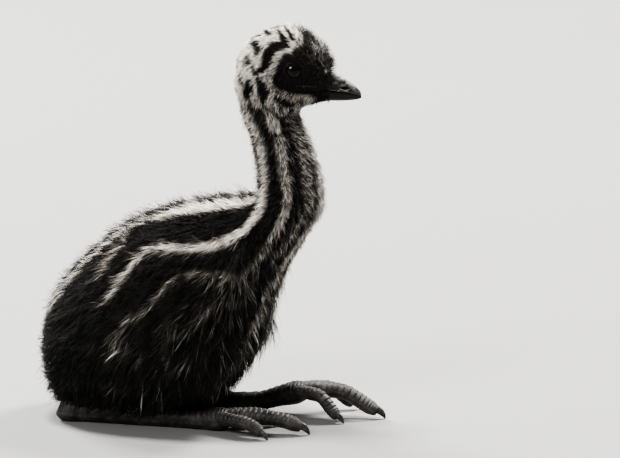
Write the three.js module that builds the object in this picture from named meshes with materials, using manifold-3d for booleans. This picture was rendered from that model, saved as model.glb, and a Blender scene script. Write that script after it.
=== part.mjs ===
// A striped emu chick about three weeks old, sitting with its neck up and its feet in front, life size.
// Millimetres. +X is the way the body faces, +Y its left and +Z up. The floor is at z = 0.
import * as THREE from "three";
import { mergeVertices } from "three/addons/utils/BufferGeometryUtils.js";
import Module from "manifold-3d";

const wasm = await Module();
wasm.setup();

const DEGREE = Math.PI / 180;

// Driving dimensions
const GAP = 0.3; // clearance between pieces that touch
const SLIVER = 0.02; // faces thinner than this are dropped
const COAT_SIDES = 36; // corners of each cross-section of the coat
const BODY_RINGS = 2; // rings from one section of the body or neck to the next
const HEAD_RINGS = 3;
const HEAD_FROM = 15; // the section where the head's finer rings start
const HEAD_TURN = 15 * DEGREE; // the head looks this far to its left of the way the body faces
const TURN_AXIS_X = 80.2; // the upright line that the neck twists about
const TURN_FROM_Z = 150;
const TURN_TO_Z = 195;
const LEG_SPREAD = 26; // from the middle plane to each foot
const HOCK_X = -14; // the left ankle
const TOE_BASE_X = 80; // where the left toes start
// Each foot: its side, how much further back it lies than the left one, how high its toes arch and over how
// many sections of the coat the upper leg runs.
const FEET = {
  left: { side: 1, back: 0, lift: 7.2, thigh: 1.5 },
  right: { side: -1, back: 35, lift: 0, thigh: 2.2 },
};
const EYE = { x: 85.1, y: 11.4, z: 224.8, radius: 6.4 };
const EYE_AXIS = new THREE.Vector3(0.22, 0.97, 0.08).normalize();
const LID = { radius: 5.4, thickness: 1.15, rise: 4.7 };
const EAR = { x: 75.4, y: 15.6, z: 219.4, radii: [2.3, 2.6, 3.1] };
const NOSTRIL = { x: 115.8, y: 5.2, z: 214, radii: [3.1, 1.5, 1.25], tilt: 24 * DEGREE };
const MOUTH = { cornerX: 88.2, cornerZ: 211.9, baseX: 112, baseTop: 211.6, baseLow: 210.7, depth: 1.3 };
const LIP_RISE = 0.95; // from the line of the mouth to the middle of each lip
const SCUTE = { rise: 0.45, length: 0.9, tail: 0.1 }; // the last two as shares of its place and of its rise

// Cross-sections of the coat from the tail to the bill. Each spans the points back and front, [x, z] in side
// view, reaches half to each side of the middle plane, and is fuller towards front by the share low.
const SECTIONS = [
  { back: [-75.5, 49], front: [-76, 43], half: 4, low: 0 }, // tail tip
  { back: [-72.5, 67], front: [-74, 25], half: 22, low: 0.05 }, // tail
  { back: [-63, 85], front: [-66, 6], half: 38, low: 0.1 }, // rump
  { back: [-46, 104], front: [-48, -2], half: 49, low: 0.13 },
  { back: [-22, 122.5], front: [-22, -4], half: 55.5, low: 0.14 },
  { back: [4, 135], front: [6, -4], half: 58, low: 0.14 }, // widest
  { back: [28, 142], front: [34, 6], half: 56.5, low: 0.12 },
  { back: [46, 145], front: [56, 29], half: 51, low: 0.09 },
  { back: [57, 146.5], front: [71, 60], half: 44, low: 0.05 }, // breast
  { back: [61.5, 147.5], front: [80, 92], half: 36, low: 0 },
  { back: [63.5, 149.5], front: [94, 117], half: 28.5, low: 0 }, // crop
  { back: [64, 154], front: [104.5, 134], half: 22.5, low: 0 },
  { back: [63.5, 162], front: [105.5, 150], half: 19, low: 0 }, // foot of the neck
  { back: [61.5, 172], front: [101.5, 167], half: 17, low: 0 },
  { back: [58.8, 183], front: [96, 181], half: 15.8, low: 0 },
  { back: [54.5, 194], front: [92, 191.5], half: 15.5, low: 0 },
  { back: [50.7, 205], front: [91, 196.5], half: 15.8, low: 0 }, // throat and nape
  { back: [48.8, 216], front: [93, 199], half: 16.5, low: 0 },
  { back: [51.5, 230], front: [96, 200.5], half: 17.3, low: 0 },
  { back: [60, 243], front: [99, 201.8], half: 17.8, low: 0 },
  { back: [73, 250], front: [101.5, 202.6], half: 17.8, low: 0 }, // crown and eyes
  { back: [86, 250.5], front: [103.5, 203.2], half: 16.8, low: 0 },
  { back: [97, 242], front: [105, 203.6], half: 14.6, low: 0 }, // forehead
  { back: [105, 233], front: [106.3, 204], half: 11.8, low: 0 },
  { back: [109, 222.8], front: [107.5, 204.4], half: 9.1, low: 0 }, // bill base
];

// Soft hollows (below zero) and swells of the face on each side, in side view
const FACE_RELIEF = [
  { x: EYE.x, z: EYE.z, depth: -2.0, spread: 6 }, // eye socket
  { x: 88, z: 236, depth: 0.9, spread: 4.5 }, // brow
  { x: 84, z: 213.5, depth: 0.8, spread: 5 }, // cheek
  { x: 99, z: 219, depth: -0.9, spread: 5 }, // lores
];

// Seams between the parts, each through two points of the outline in side view
const TAIL_SEAM = { back: [-53, 97], front: [-71, 14] };
const NECK_FOOT_SEAM = { back: [63.9, 152], front: [100, 126] };
const NECK_MIDDLE_SEAM = { back: [61.9, 170.5], front: [100.3, 168.5] };
const HEAD_SEAM = { back: [54, 198], front: [91.4, 193.8] };
const BILL_SEAM = { back: [109, 222.8], front: [107.5, 204.4] };

// Value at place s of numbers that are evenly numbered along a line, on a smooth curve through all of them.
function smoothValue(values, s) {
  const last = values.length - 1;
  const i = Math.min(Math.floor(s), last - 1);
  const t = s - i;
  const [a, b, c, d] = [i - 1, i, i + 1, i + 2].map((k) => values[THREE.MathUtils.clamp(k, 0, last)]);
  return b + 0.5 * t * (c - a + t * (2 * a - 5 * b + 4 * c - d + t * (3 * (b - c) + d - a)));
}

// The angle that a point of the neck or head at height z is turned by.
function turnAt(z) {
  return HEAD_TURN * THREE.MathUtils.smoothstep(z, TURN_FROM_Z, TURN_TO_Z);
}

function turned(point, angle) {
  const pivot = new THREE.Vector3(TURN_AXIS_X, 0, 0);
  return point.sub(pivot).applyAxisAngle(new THREE.Vector3(0, 0, 1), angle).add(pivot);
}

function faceRelief(x, z) {
  return FACE_RELIEF.reduce((sum, bump) => {
    const far = ((x - bump.x) ** 2 + (z - bump.z) ** 2) / (2 * bump.spread ** 2);
    return sum + bump.depth * Math.exp(-far);
  }, 0);
}

// A point of the coat's outer surface. s counts the sections from the tail, angle runs from the back line
// round the right side, and narrower takes that much off each side.
function coatPoint(s, angle, narrower = 0) {
  const value = (pick) => smoothValue(SECTIONS.map(pick), s);
  const back = new THREE.Vector3(value((c) => c.back[0]), 0, value((c) => c.back[1]));
  const front = new THREE.Vector3(value((c) => c.front[0]), 0, value((c) => c.front[1]));
  const half = Math.max(value((c) => c.half) - narrower, 1) * (1 - value((c) => c.low) * Math.cos(angle));
  const point = front.lerp(back, (1 + Math.cos(angle)) / 2);
  const reach = half * Math.sin(angle);
  const relief = s > HEAD_FROM ? faceRelief(point.x, point.z) * Math.abs(Math.sin(angle)) : 0;
  point.y = -(reach + Math.sign(reach) * relief);
  return turned(point, turnAt(point.z));
}

// A closed surface over rings of points that all run the same way round, with a fan over each end.
function skinOver(rings) {
  const count = rings[0].length;
  const points = rings.flat();
  const index = [];
  for (let ring = 0; ring + 1 < rings.length; ring++) {
    for (let k = 0; k < count; k++) {
      const a = ring * count + k;
      const b = ring * count + ((k + 1) % count);
      index.push(a, b, a + count, b, b + count, a + count);
    }
  }
  const middle = (ring) => ring.reduce((sum, p) => sum.add(p), new THREE.Vector3()).divideScalar(count);
  const start = points.push(middle(rings[0])) - 1;
  const end = points.push(middle(rings[rings.length - 1])) - 1;
  const lastRing = (rings.length - 1) * count;
  for (let k = 0; k < count; k++) {
    const next = (k + 1) % count;
    index.push(start, next, k, end, lastRing + k, lastRing + next);
  }
  return new THREE.BufferGeometry().setFromPoints(points).setIndex(index);
}

// A solid for joining and cutting, from a closed geometry.
function solidOf(geometry) {
  const bare = geometry.clone();
  bare.deleteAttribute("normal");
  bare.deleteAttribute("uv");
  const merged = mergeVertices(bare, 1e-4);
  const vertProperties = new Float32Array(merged.attributes.position.array);
  const triVerts = new Uint32Array(merged.index.array);
  return new wasm.Manifold(new wasm.Mesh({ numProp: 3, vertProperties, triVerts }));
}

function largest(solid) {
  return solid.decompose().reduce((a, b) => (b.volume() > a.volume() ? b : a));
}

// The largest closed body of a solid, without the slivers that cutting leaves.
function finished(solid) {
  return largest(largest(solid).simplify(SLIVER));
}

function geometryOf(solid) {
  const { vertProperties, triVerts, numProp } = solid.getMesh();
  const positions = new Float32Array((vertProperties.length / numProp) * 3);
  for (let i = 0; i * numProp < vertProperties.length; i++) {
    positions.set(vertProperties.subarray(i * numProp, i * numProp + 3), i * 3);
  }
  const geometry = new THREE.BufferGeometry();
  geometry.setAttribute("position", new THREE.BufferAttribute(positions, 3));
  geometry.setIndex(new THREE.BufferAttribute(new Uint32Array(triVerts), 1));
  return geometry;
}

// The coat from the tail to the bill as one solid.
function coatSolid(narrower = 0) {
  const bodyRings = HEAD_FROM * BODY_RINGS;
  const headRings = (SECTIONS.length - 1 - HEAD_FROM) * HEAD_RINGS + 1;
  const stops = Array.from({ length: bodyRings + headRings }, (_, i) => {
    return i < bodyRings ? i / BODY_RINGS : HEAD_FROM + (i - bodyRings) / HEAD_RINGS;
  });
  const angles = Array.from({ length: COAT_SIDES }, (_, k) => (k / COAT_SIDES) * 2 * Math.PI);
  return solidOf(skinOver(stops.map((s) => angles.map((angle) => coatPoint(s, angle, narrower)))));
}

// The plane of a seam, turned as the neck is there: its normal points towards the head.
function seamPlane({ back, front }) {
  const angle = turnAt((back[1] + front[1]) / 2);
  const normal = new THREE.Vector3(back[1] - front[1], 0, front[0] - back[0]).normalize();
  const point = turned(new THREE.Vector3(front[0], 0, front[1]), angle);
  normal.applyAxisAngle(new THREE.Vector3(0, 0, 1), angle);
  return { normal, offset: normal.dot(point) };
}

function beyond(solid, { normal, offset }) {
  return solid.trimByPlane(normal.toArray(), offset + GAP / 2);
}

function before(solid, { normal, offset }) {
  return solid.trimByPlane(normal.clone().negate().toArray(), GAP / 2 - offset);
}

function aboveFloor(solid) {
  return solid.trimByPlane([0, 0, 1], 0);
}

// Where a limb has its rings, and how far each is lifted: two for each scute, or else one for each step,
// closer together at ends that round off.
function limbStops(steps, plates, rounded) {
  const stops = [];
  for (let i = 0; i < (plates || steps); i++) {
    const even = i / (plates || steps);
    const t = rounded ? THREE.MathUtils.lerp(even, (1 - Math.cos(Math.PI * even)) / 2, 0.7) : even;
    stops.push({ t, lift: plates ? SCUTE.rise : 0 });
    if (plates) {
      stops.push({ t: t + SCUTE.length / plates, lift: SCUTE.tail * SCUTE.rise });
    }
  }
  stops.push({ t: 1, lift: 0 });
  return stops;
}

// A limb: an oval swept along a smooth path. half holds [across, thick] at each point of the path. grow makes
// it that much larger all round, to cut room out of a neighbour. plates raises that many scutes on its top,
// and rounded is the share of its length over which each end rounds off.
function limb({ path, half, steps = 12, sides = 10, plates = 0, rounded = 0 }, grow = 0) {
  const curve = new THREE.CatmullRomCurve3(path.map((p) => new THREE.Vector3(...p)));
  const smallestEnd = 0.12;
  const roundness = (t) => {
    const inward = rounded ? Math.min(Math.min(t, 1 - t) / rounded, 1) : 1;
    return Math.max(Math.sqrt(1 - (1 - inward) ** 2), smallestEnd);
  };
  const rings = limbStops(steps, plates, rounded).map(({ t, lift }) => {
    const forward = curve.getTangent(t);
    const up = new THREE.Vector3(0, 0, 1).addScaledVector(forward, -forward.z).normalize();
    const side = forward.clone().cross(up);
    const s = t * (path.length - 1);
    const across = smoothValue(half.map((h) => h[0]), s) * roundness(t) + grow;
    const thick = smoothValue(half.map((h) => h[1]), s) * roundness(t) + grow;
    const centre = curve.getPoint(t);
    if (t === 0) centre.addScaledVector(forward, -grow);
    if (t === 1) centre.addScaledVector(forward, grow);
    return Array.from({ length: sides }, (_, k) => {
      const angle = (k / sides) * 2 * Math.PI;
      const top = Math.max(Math.cos(angle), 0);
      return centre
        .clone()
        .addScaledVector(up, (thick + lift * Math.sqrt(top)) * Math.cos(angle))
        .addScaledVector(side, (across + lift * top) * Math.sin(angle));
    });
  });
  return solidOf(skinOver(rings));
}

// Moves the left leg's shape to the place of a foot.
function forFoot({ side, back }, shape) {
  return { ...shape, path: shape.path.map(([x, y, z]) => [x - back, side * y, z]) };
}

// The leg's lower bone, lying along the floor from the ankle to the ball of the foot: its middle line and, at
// each point of it, half its width and height.
const TARSUS_PATH = [
  [HOCK_X - 9, LEG_SPREAD + 1, 8],
  [HOCK_X - 7, LEG_SPREAD + 1, 7.4],
  [HOCK_X, LEG_SPREAD + 0.6, 7],
  [HOCK_X + 10, LEG_SPREAD, 6],
  [TOE_BASE_X - 50, LEG_SPREAD, 5.2],
  [TOE_BASE_X - 24, LEG_SPREAD, 5.2],
  [TOE_BASE_X - 10, LEG_SPREAD, 5.8],
  [TOE_BASE_X, LEG_SPREAD, 6.6],
  [TOE_BASE_X + 6, LEG_SPREAD, 7.4],
  [TOE_BASE_X + 8.5, LEG_SPREAD, 7.6],
];
const TARSUS_HALF = [
  [3, 3],
  [7, 6.6],
  [8, 7.6],
  [6.4, 6.4],
  [5.4, 5.6],
  [5.4, 5.5],
  [6.8, 6],
  [8.8, 6.8],
  [7, 5.2],
  [2.5, 2],
];

function tarsusShape({ lift }) {
  const path = TARSUS_PATH.map(([x, y, z]) => {
    return [x, y, z + lift * THREE.MathUtils.smoothstep(x, TOE_BASE_X - 36, TOE_BASE_X + 6)];
  });
  return { path, half: TARSUS_HALF, plates: 15, sides: 10 };
}

// Toes: how far each reaches from the toe base to its claw, which way it points, how far it starts from the
// middle, half its width and height, its scutes and its claw's length.
const TOES = {
  middle: { reach: 52.5, spread: 0, start: 0, across: 4.8, thick: 4.6, plates: 12, claw: 5.2 },
  inner: { reach: 34, spread: -22 * DEGREE, start: -4.4, across: 3.9, thick: 3.8, plates: 9, claw: 4.6 },
  outer: { reach: 35, spread: 23 * DEGREE, start: 4.4, across: 4, thick: 3.8, plates: 9, claw: 4.6 },
};

// The point of a toe that lies `along` it from its root and at height z.
function toePoint(toe, along, z) {
  const y = LEG_SPREAD + toe.start + along * Math.sin(toe.spread);
  return [TOE_BASE_X + along * Math.cos(toe.spread), y, z];
}

function toeShape(toe, { lift }) {
  const at = (share, z) => {
    const raised = lift * (1 - THREE.MathUtils.smoothstep(share, 0.5, 0.97));
    return toePoint(toe, share * toe.reach, z + raised);
  };
  const path = [
    at(-0.02, 7.4),
    at(0.15, 8.2),
    at(0.38, toe.thick + 4.6),
    at(0.6, toe.thick + 4.7),
    at(0.8, toe.thick + 3.6),
    at(0.93, toe.thick + 1.6),
    at(1, toe.thick + 0.4),
  ];
  const taper = [0.85, 1, 0.99, 0.95, 0.92, 0.86, 0.55];
  const half = taper.map((share) => [toe.across * share, toe.thick * share]);
  return { path, half, plates: toe.plates };
}

function clawShape(toe) {
  const at = (share, z) => toePoint(toe, toe.reach + share * toe.claw, z);
  const path = [at(-0.5, toe.thick + 1.4), at(0.2, toe.thick + 0.8), at(0.75, toe.thick * 0.62), at(1, 0.4)];
  const taper = [0.52, 0.48, 0.31, 0.09];
  const half = taper.map((share) => [toe.across * share, toe.thick * share]);
  return { path, half, steps: 7, sides: 8 };
}

// Where a limb runs under the coat: at each point a section, an angle from the back line and a depth.
function underCoat(side, places) {
  return places.map(([s, degrees, sunk]) => coatPoint(s, -side * degrees * DEGREE, sunk).toArray());
}

// The feathered upper leg, folded along the flank from the knee back to the ankle: how far back of the knee's
// section, as a share, the angle and how deep under the coat it runs.
const THIGH = {
  knee: 7.25,
  places: [
    [0, 112, 14],
    [0.21, 115, 15],
    [0.46, 117, 15],
    [0.71, 118, 14.6],
    [1, 120, 13],
  ],
  half: [
    [14, 16],
    [17, 20],
    [17.6, 21],
    [16, 19],
    [13, 15],
    [9.5, 10.5],
    [8, 8],
  ],
};

function thighShape({ side, back, thigh }) {
  const hock = HOCK_X - back;
  const places = THIGH.places.map(([share, degrees, sunk]) => [THIGH.knee - share * thigh, degrees, sunk]);
  const low = [
    [hock + 14, side * 33, 17],
    [hock + 2, side * 28, 12],
  ];
  const path = [...underCoat(side, places), ...low];
  return { path, half: THIGH.half, steps: 11, sides: 14, rounded: 0.2 };
}

// The small wing, lying back along the flank from the shoulder.
const WING = {
  places: [
    [8.6, 80, 1.6],
    [8.3, 81, 1.6],
    [7.8, 82, 1.6],
    [7.3, 84, 1.5],
    [6.9, 86, 1.2],
    [6.6, 88, 0.8],
  ],
  half: [
    [3, 5],
    [3.8, 6.2],
    [4.2, 6.6],
    [3.8, 5.8],
    [3, 4.2],
    [2, 2.6],
  ],
};

function wingShape({ side }) {
  return { path: underCoat(side, WING.places), half: WING.half, steps: 9, sides: 10, rounded: 0.3 };
}

// Bill outlines in side view: the ridge, the mouth line and the underside, with the half-width at each x.
const BILL = [
  { x: 103, ridge: 225.2, mouth: 211.7, under: 203.4, half: 9.1 },
  { x: 108.5, ridge: 222.2, mouth: 211.5, under: 203.9, half: 8.3 },
  { x: 113, ridge: 220, mouth: 211, under: 203.9, half: 7.3 },
  { x: 117.5, ridge: 217.3, mouth: 210.4, under: 203.9, half: 6.1 },
  { x: 121.5, ridge: 214.3, mouth: 209.6, under: 204.1, half: 4.7 },
  { x: 124.8, ridge: 211.6, mouth: 208.3, under: 204.6, half: 3.1 },
  { x: 126.6, ridge: 209.2, mouth: 207.2, under: 205.1, half: 1.7 },
  { x: 127.2, ridge: 207.6, mouth: 206.6, under: 205.6, half: 0.6 },
];
const BILL_STEPS = 13;
const BILL_CORNERS = 14;
// The halves of the bill: which way each bulges, its edge line, its width as a share, how square it is across
// and where it ends as a share of the upper half's length.
const BILL_HALVES = {
  upper: { up: 1, edge: "ridge", width: 1, square: 0.9, end: 1 },
  lower: { up: -1, edge: "under", width: 0.9, square: 0.6, end: 0.955 },
};

function billHalf({ up, edge, width, square, end }) {
  const rings = [];
  for (let step = 0; step <= BILL_STEPS; step++) {
    const s = (step / BILL_STEPS) * end * (BILL.length - 1);
    const value = (key) => smoothValue(BILL.map((section) => section[key]), s);
    const mouth = value("mouth") + (up * GAP) / 2;
    const half = value("half") * width;
    const point = (share, height) => {
      return new THREE.Vector3(value("x"), half * share, mouth + (value(edge) - mouth) * height);
    };
    const ring = [];
    for (let k = 0; k < BILL_CORNERS; k++) {
      const share = (2 * k) / BILL_CORNERS - 1; // from the right edge over the outside to the left edge
      ring.push(point(share, Math.max((1 - Math.abs(share) ** 1.6) ** square, 0.06)));
    }
    ring.push(point(1, 0), point(0, 0), point(-1, 0));
    rings.push(up > 0 ? ring.reverse() : ring);
  }
  return solidOf(skinOver(rings));
}

// An oval ball, with its axes along x, y and z.
function ball(radii, centre, segments = 16) {
  const geometry = new THREE.SphereGeometry(1, segments, Math.round(segments * 0.7));
  geometry.scale(...radii).translate(...centre);
  return solidOf(geometry);
}

// Turns a piece that was built on the unturned head into its place.
function onHead(solid) {
  const cosine = Math.cos(HEAD_TURN);
  const sine = Math.sin(HEAD_TURN);
  const shiftX = TURN_AXIS_X * (1 - cosine);
  const shiftY = -TURN_AXIS_X * sine;
  return solid.transform([cosine, sine, 0, 0, -sine, cosine, 0, 0, 0, 0, 1, 0, shiftX, shiftY, 0, 1]);
}

function eyeball(side, grow = 0) {
  return onHead(ball(Array(3).fill(EYE.radius + grow), [EYE.x, side * EYE.y, EYE.z], 16));
}

// The rim of the eyelids, a ring round the eye.
function lidRing(side) {
  const axis = EYE_AXIS.clone().multiply(new THREE.Vector3(1, side, 1));
  const ring = new THREE.TorusGeometry(LID.radius, LID.thickness, 6, 20);
  ring.scale(1.04, 0.94, 1);
  ring.applyQuaternion(new THREE.Quaternion().setFromUnitVectors(new THREE.Vector3(0, 0, 1), axis));
  const centre = new THREE.Vector3(EYE.x, side * EYE.y, EYE.z).addScaledVector(axis, LID.rise);
  ring.translate(...centre.toArray());
  return onHead(solidOf(ring));
}

// The ear's opening, a shallow pit behind and below the eye.
function earPit(side) {
  return onHead(ball(EAR.radii, [EAR.x, side * EAR.y, EAR.z], 10));
}

function nostril(side) {
  const slot = new THREE.SphereGeometry(1, 14, 10);
  slot.scale(...NOSTRIL.radii).rotateY(NOSTRIL.tilt);
  slot.translate(NOSTRIL.x, side * NOSTRIL.y, NOSTRIL.z);
  return onHead(solidOf(slot));
}

// The lips: a low roll above and below the line of the mouth, from its corner below the eye to the bill.
const MOUTH_PLACES = [
  [18.9, 121.5, 0.3],
  [20, 128.6, 0.2],
  [21, 130.5, 0.2],
  [22, 126.1, 0.2],
  [23.3, 116, 0.2],
];

function lip(side, rise) {
  const path = underCoat(side, MOUTH_PLACES).map(([x, y, z]) => [x, y, z + rise]);
  const half = [0.5, 0.9, 1, 1, 1].map((radius) => [radius, radius]);
  return limb({ path, half, steps: 7, sides: 6 });
}

// The line of the mouth, a groove along the cheek from the bill to below the eye.
function mouthGroove() {
  const outline = new THREE.Shape([
    new THREE.Vector2(MOUTH.cornerX, MOUTH.cornerZ),
    new THREE.Vector2(MOUTH.baseX, MOUTH.baseLow),
    new THREE.Vector2(MOUTH.baseX, MOUTH.baseTop),
  ]);
  const depth = 44;
  const plate = new THREE.ExtrudeGeometry(outline, { depth, bevelEnabled: false });
  plate.rotateX(Math.PI / 2).translate(0, depth / 2, 0);
  return onHead(solidOf(plate)).subtract(coatSolid(MOUTH.depth));
}

// All the parts as solids, by name.
function buildParts() {
  const parts = {};
  const whole = aboveFloor(coatSolid());
  const tailPlane = seamPlane(TAIL_SEAM);
  const neckFootPlane = seamPlane(NECK_FOOT_SEAM);
  const neckMiddlePlane = seamPlane(NECK_MIDDLE_SEAM);
  const headPlane = seamPlane(HEAD_SEAM);
  const billPlane = seamPlane(BILL_SEAM);

  let head = beyond(whole, headPlane);
  let torso = before(beyond(whole, tailPlane), neckFootPlane);
  parts.tail = before(whole, tailPlane);
  parts.neck_lower = before(beyond(whole, neckFootPlane), neckMiddlePlane);
  parts.neck_upper = before(beyond(whole, neckMiddlePlane), headPlane);

  for (const [name, foot] of Object.entries(FEET)) {
    const side = foot.side;
    head = head.add(lip(side, LIP_RISE)).add(lip(side, -LIP_RISE));
    head = head.add(lidRing(side)).subtract(eyeball(side, GAP)).subtract(earPit(side));
    parts[`eye_${name}`] = eyeball(side);

    const wing = wingShape(foot);
    const thigh = thighShape(foot);
    const tarsus = forFoot(foot, tarsusShape(foot));
    const tarsusRoom = limb({ ...tarsus, plates: 0, steps: 9 }, GAP + 1);
    parts[`wing_${name}`] = limb(wing);
    parts[`tarsus_${name}`] = aboveFloor(limb(tarsus));
    parts[`thigh_${name}`] = aboveFloor(limb(thigh)).subtract(tarsusRoom);
    torso = torso.subtract(limb(wing, GAP)).subtract(limb(thigh, GAP)).subtract(tarsusRoom);

    const middleRoom = limb(forFoot(foot, toeShape(TOES.middle, foot)), GAP);
    for (const [toeName, toe] of Object.entries(TOES)) {
      const shape = forFoot(foot, toeShape(toe, foot));
      let digit = limb(shape).subtract(limb(tarsus, GAP));
      if (toe !== TOES.middle) digit = digit.subtract(middleRoom);
      parts[`toe_${toeName}_${name}`] = aboveFloor(digit);
      const claw = limb(forFoot(foot, clawShape(toe))).subtract(limb(shape, GAP));
      parts[`claw_${toeName}_${name}`] = aboveFloor(claw);
    }
  }
  parts.torso = torso;
  parts.head = before(head.subtract(mouthGroove()), billPlane);

  const upper = beyond(onHead(billHalf(BILL_HALVES.upper)), billPlane);
  parts.bill_upper = upper.subtract(nostril(1)).subtract(nostril(-1));
  parts.bill_lower = beyond(onHead(billHalf(BILL_HALVES.lower)), billPlane);
  return parts;
}

// Materials by the start of a part's name
const FINISHES = {
  eye: { color: 0x1c120b, roughness: 0.08, metalness: 0 },
  bill: { color: 0x2b2825, roughness: 0.4, metalness: 0 },
  claw: { color: 0x201c19, roughness: 0.4, metalness: 0 },
  toe: { color: 0x4a443d, roughness: 0.6, metalness: 0 },
  tarsus: { color: 0x4a443d, roughness: 0.6, metalness: 0 },
  head: { color: 0x8a8073, roughness: 0.95, metalness: 0 },
};
const DOWN = { color: 0x5a5046, roughness: 0.98, metalness: 0 };

function materialFor(name) {
  const key = Object.keys(FINISHES).find((start) => name.startsWith(start));
  return new THREE.MeshStandardMaterial(key ? FINISHES[key] : DOWN);
}

const chick = new THREE.Group();
for (const [name, solid] of Object.entries(buildParts())) {
  const mesh = new THREE.Mesh(geometryOf(finished(solid)), materialFor(name));
  mesh.name = name;
  chick.add(mesh);
}

// The origin is on the floor, under the middle of the whole chick.
const bounds = new THREE.Box3().setFromObject(chick, true);
const middle = bounds.getCenter(new THREE.Vector3());
chick.position.set(-middle.x, -middle.y, -bounds.min.z);

export default chick;
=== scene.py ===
"""A sitting emu chick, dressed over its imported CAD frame: skin, down, eyes, bill and feet."""

import logging
from dataclasses import dataclass
from enum import Enum
from functools import reduce

import bpy
import numpy as np
from bpy.types import Material, Mesh, Node, NodeSocket, NodeTree, Object
from mathutils import Matrix, Vector
from mathutils.bvhtree import BVHTree


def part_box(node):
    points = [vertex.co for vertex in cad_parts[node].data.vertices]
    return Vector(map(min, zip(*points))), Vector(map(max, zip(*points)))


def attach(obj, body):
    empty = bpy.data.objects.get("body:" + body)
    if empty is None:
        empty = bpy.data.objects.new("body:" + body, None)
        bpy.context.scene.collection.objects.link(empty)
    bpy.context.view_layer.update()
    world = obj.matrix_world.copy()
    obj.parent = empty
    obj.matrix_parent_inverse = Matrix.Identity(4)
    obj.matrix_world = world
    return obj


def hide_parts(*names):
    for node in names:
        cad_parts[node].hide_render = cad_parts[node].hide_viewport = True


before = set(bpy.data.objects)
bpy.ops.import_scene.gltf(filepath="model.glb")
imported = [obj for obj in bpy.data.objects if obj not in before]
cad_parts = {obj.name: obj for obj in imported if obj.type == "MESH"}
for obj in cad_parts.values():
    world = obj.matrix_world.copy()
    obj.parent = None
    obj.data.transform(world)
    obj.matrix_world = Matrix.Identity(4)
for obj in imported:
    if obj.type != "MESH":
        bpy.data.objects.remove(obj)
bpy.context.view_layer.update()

Array = np.ndarray  # short for the hints
LOG = logging.getLogger("emu_chick")
MM = 0.001
BODY = "root"
FLOOR_GAP = 0.4  # mm that the lowest fibres keep from the floor
SWIRL_SCALE = 90  # fineness of the noises that turn and ruffle the tufts
TUFT_SCALE = 210
WAVE_SCALE = 330
FULL_TURN = 6.28  # radians that a strand may be turned about itself
WRAP_SHARE = 0.003  # size of a tuft's patch on the bake map
END_SHADE = (0.5, 0.5)  # crease at the two middle points that close a limb or a half of the bill
HASH_AXES = (374761393, 668265263, 2147483647)  # large primes that stir the noise's cells
HASH_SEED = 9973
HASH_MIX = 1274126177
NUMBER = "NodeSocketFloat"
COUNT = "NodeSocketInt"
COLOUR = "NodeSocketColor"
ARROW = "NodeSocketVector"
GEOMETRY = "NodeSocketGeometry"


# Numbers and small mesh helpers


def smooth_step(values: Array, low: float, high: float) -> Array:
    """Blends from 0 at the low number to 1 at the high one."""
    t = np.clip((np.asarray(values, float) - low) / (high - low), 0, 1)
    return t * t * (3 - 2 * t)


def fade(values: Array, low: float, high: float) -> Array:
    """Blends from 1 at the low number to 0 at the high one."""
    return 1 - smooth_step(values, low, high)


def band(values: Array, start: float, full: float, wane: float, end: float) -> Array:
    """Blends from 0 to 1 between the first two numbers and back to 0 between the last two."""
    return smooth_step(values, start, full) * fade(values, wane, end)


def bump(gaps: Array, width: float) -> Array:
    """Gives a soft bump of height 1 that is a third as high one width from its middle."""
    return np.exp(-((gaps / width) ** 2))


def smooth_table(table: Array, place: Array) -> Array:
    """Reads a table between its rows with a Catmull-Rom curve.

    Args:
        table: one row for each whole place.
        place: where to read, in rows.

    Returns:
        The value or row of values at each place.
    """
    table = np.asarray(table, float)
    last = len(table) - 1
    index = np.clip(np.floor(place).astype(int), 0, last - 1)
    t = place - index
    if table.ndim > 1:
        t = t[..., None]
    a, b, c, d = (table[np.clip(index + k, 0, last)] for k in (-1, 0, 1, 2))
    return b + 0.5 * t * (c - a + t * (2 * a - 5 * b + 4 * c - d + t * (3 * (b - c) + d - a)))


def read_steps(pairs: tuple, values: Array) -> Array:
    """Interpolates in a short list of (place, value) pairs, by rising place."""
    places, heights = zip(*pairs)
    return np.interp(values, places, heights)


def unit(vectors: Array) -> Array:
    """Scales vectors, along the last axis, to length one."""
    return vectors / np.maximum(np.linalg.norm(vectors, axis=-1, keepdims=True), 1e-9)


def cloud(points: Array, size: float, seed: int) -> Array:
    """Smooth noise from 0 to 1 that is the same at each run.

    Args:
        points: places in space.
        size: width of a cloud, in the points' unit.
        seed: which noise.

    Returns:
        The noise at each place.
    """
    place = points / size + seed * 17.31
    base = np.floor(place).astype(np.int64)
    t = place - base
    t = t * t * (3 - 2 * t)
    total = np.zeros(points.shape[:-1])
    for corner in np.ndindex(2, 2, 2):
        mixed = (base + np.array(corner)) @ np.array(HASH_AXES) + seed * HASH_SEED
        mixed = (mixed ^ (mixed >> 13)) * HASH_MIX
        value = ((mixed ^ (mixed >> 16)) & 0xFFFF) / 0xFFFF
        weight = np.prod(np.where(np.array(corner) == 1, t, 1 - t), axis=-1)
        total += weight * value
    return total


def line_distance(points: Array, line: Array) -> tuple:
    """Measures how far points are from a line of many points.

    Args:
        points: the places, one a row.
        line: the line's points.

    Returns:
        The distance of each place and how far along the line it is nearest, in points.
    """
    best = np.full(len(points), 1e9)
    along = np.zeros(len(points))
    for k in range(len(line) - 1):
        span = line[k + 1] - line[k]
        share = np.clip((points - line[k]) @ span / max(span @ span, 1e-9), 0, 1)
        gap = np.linalg.norm(points - line[k] - share[:, None] * span, axis=1)
        nearer = gap < best
        best = np.where(nearer, gap, best)
        along = np.where(nearer, k + share, along)
    return best, along


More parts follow.
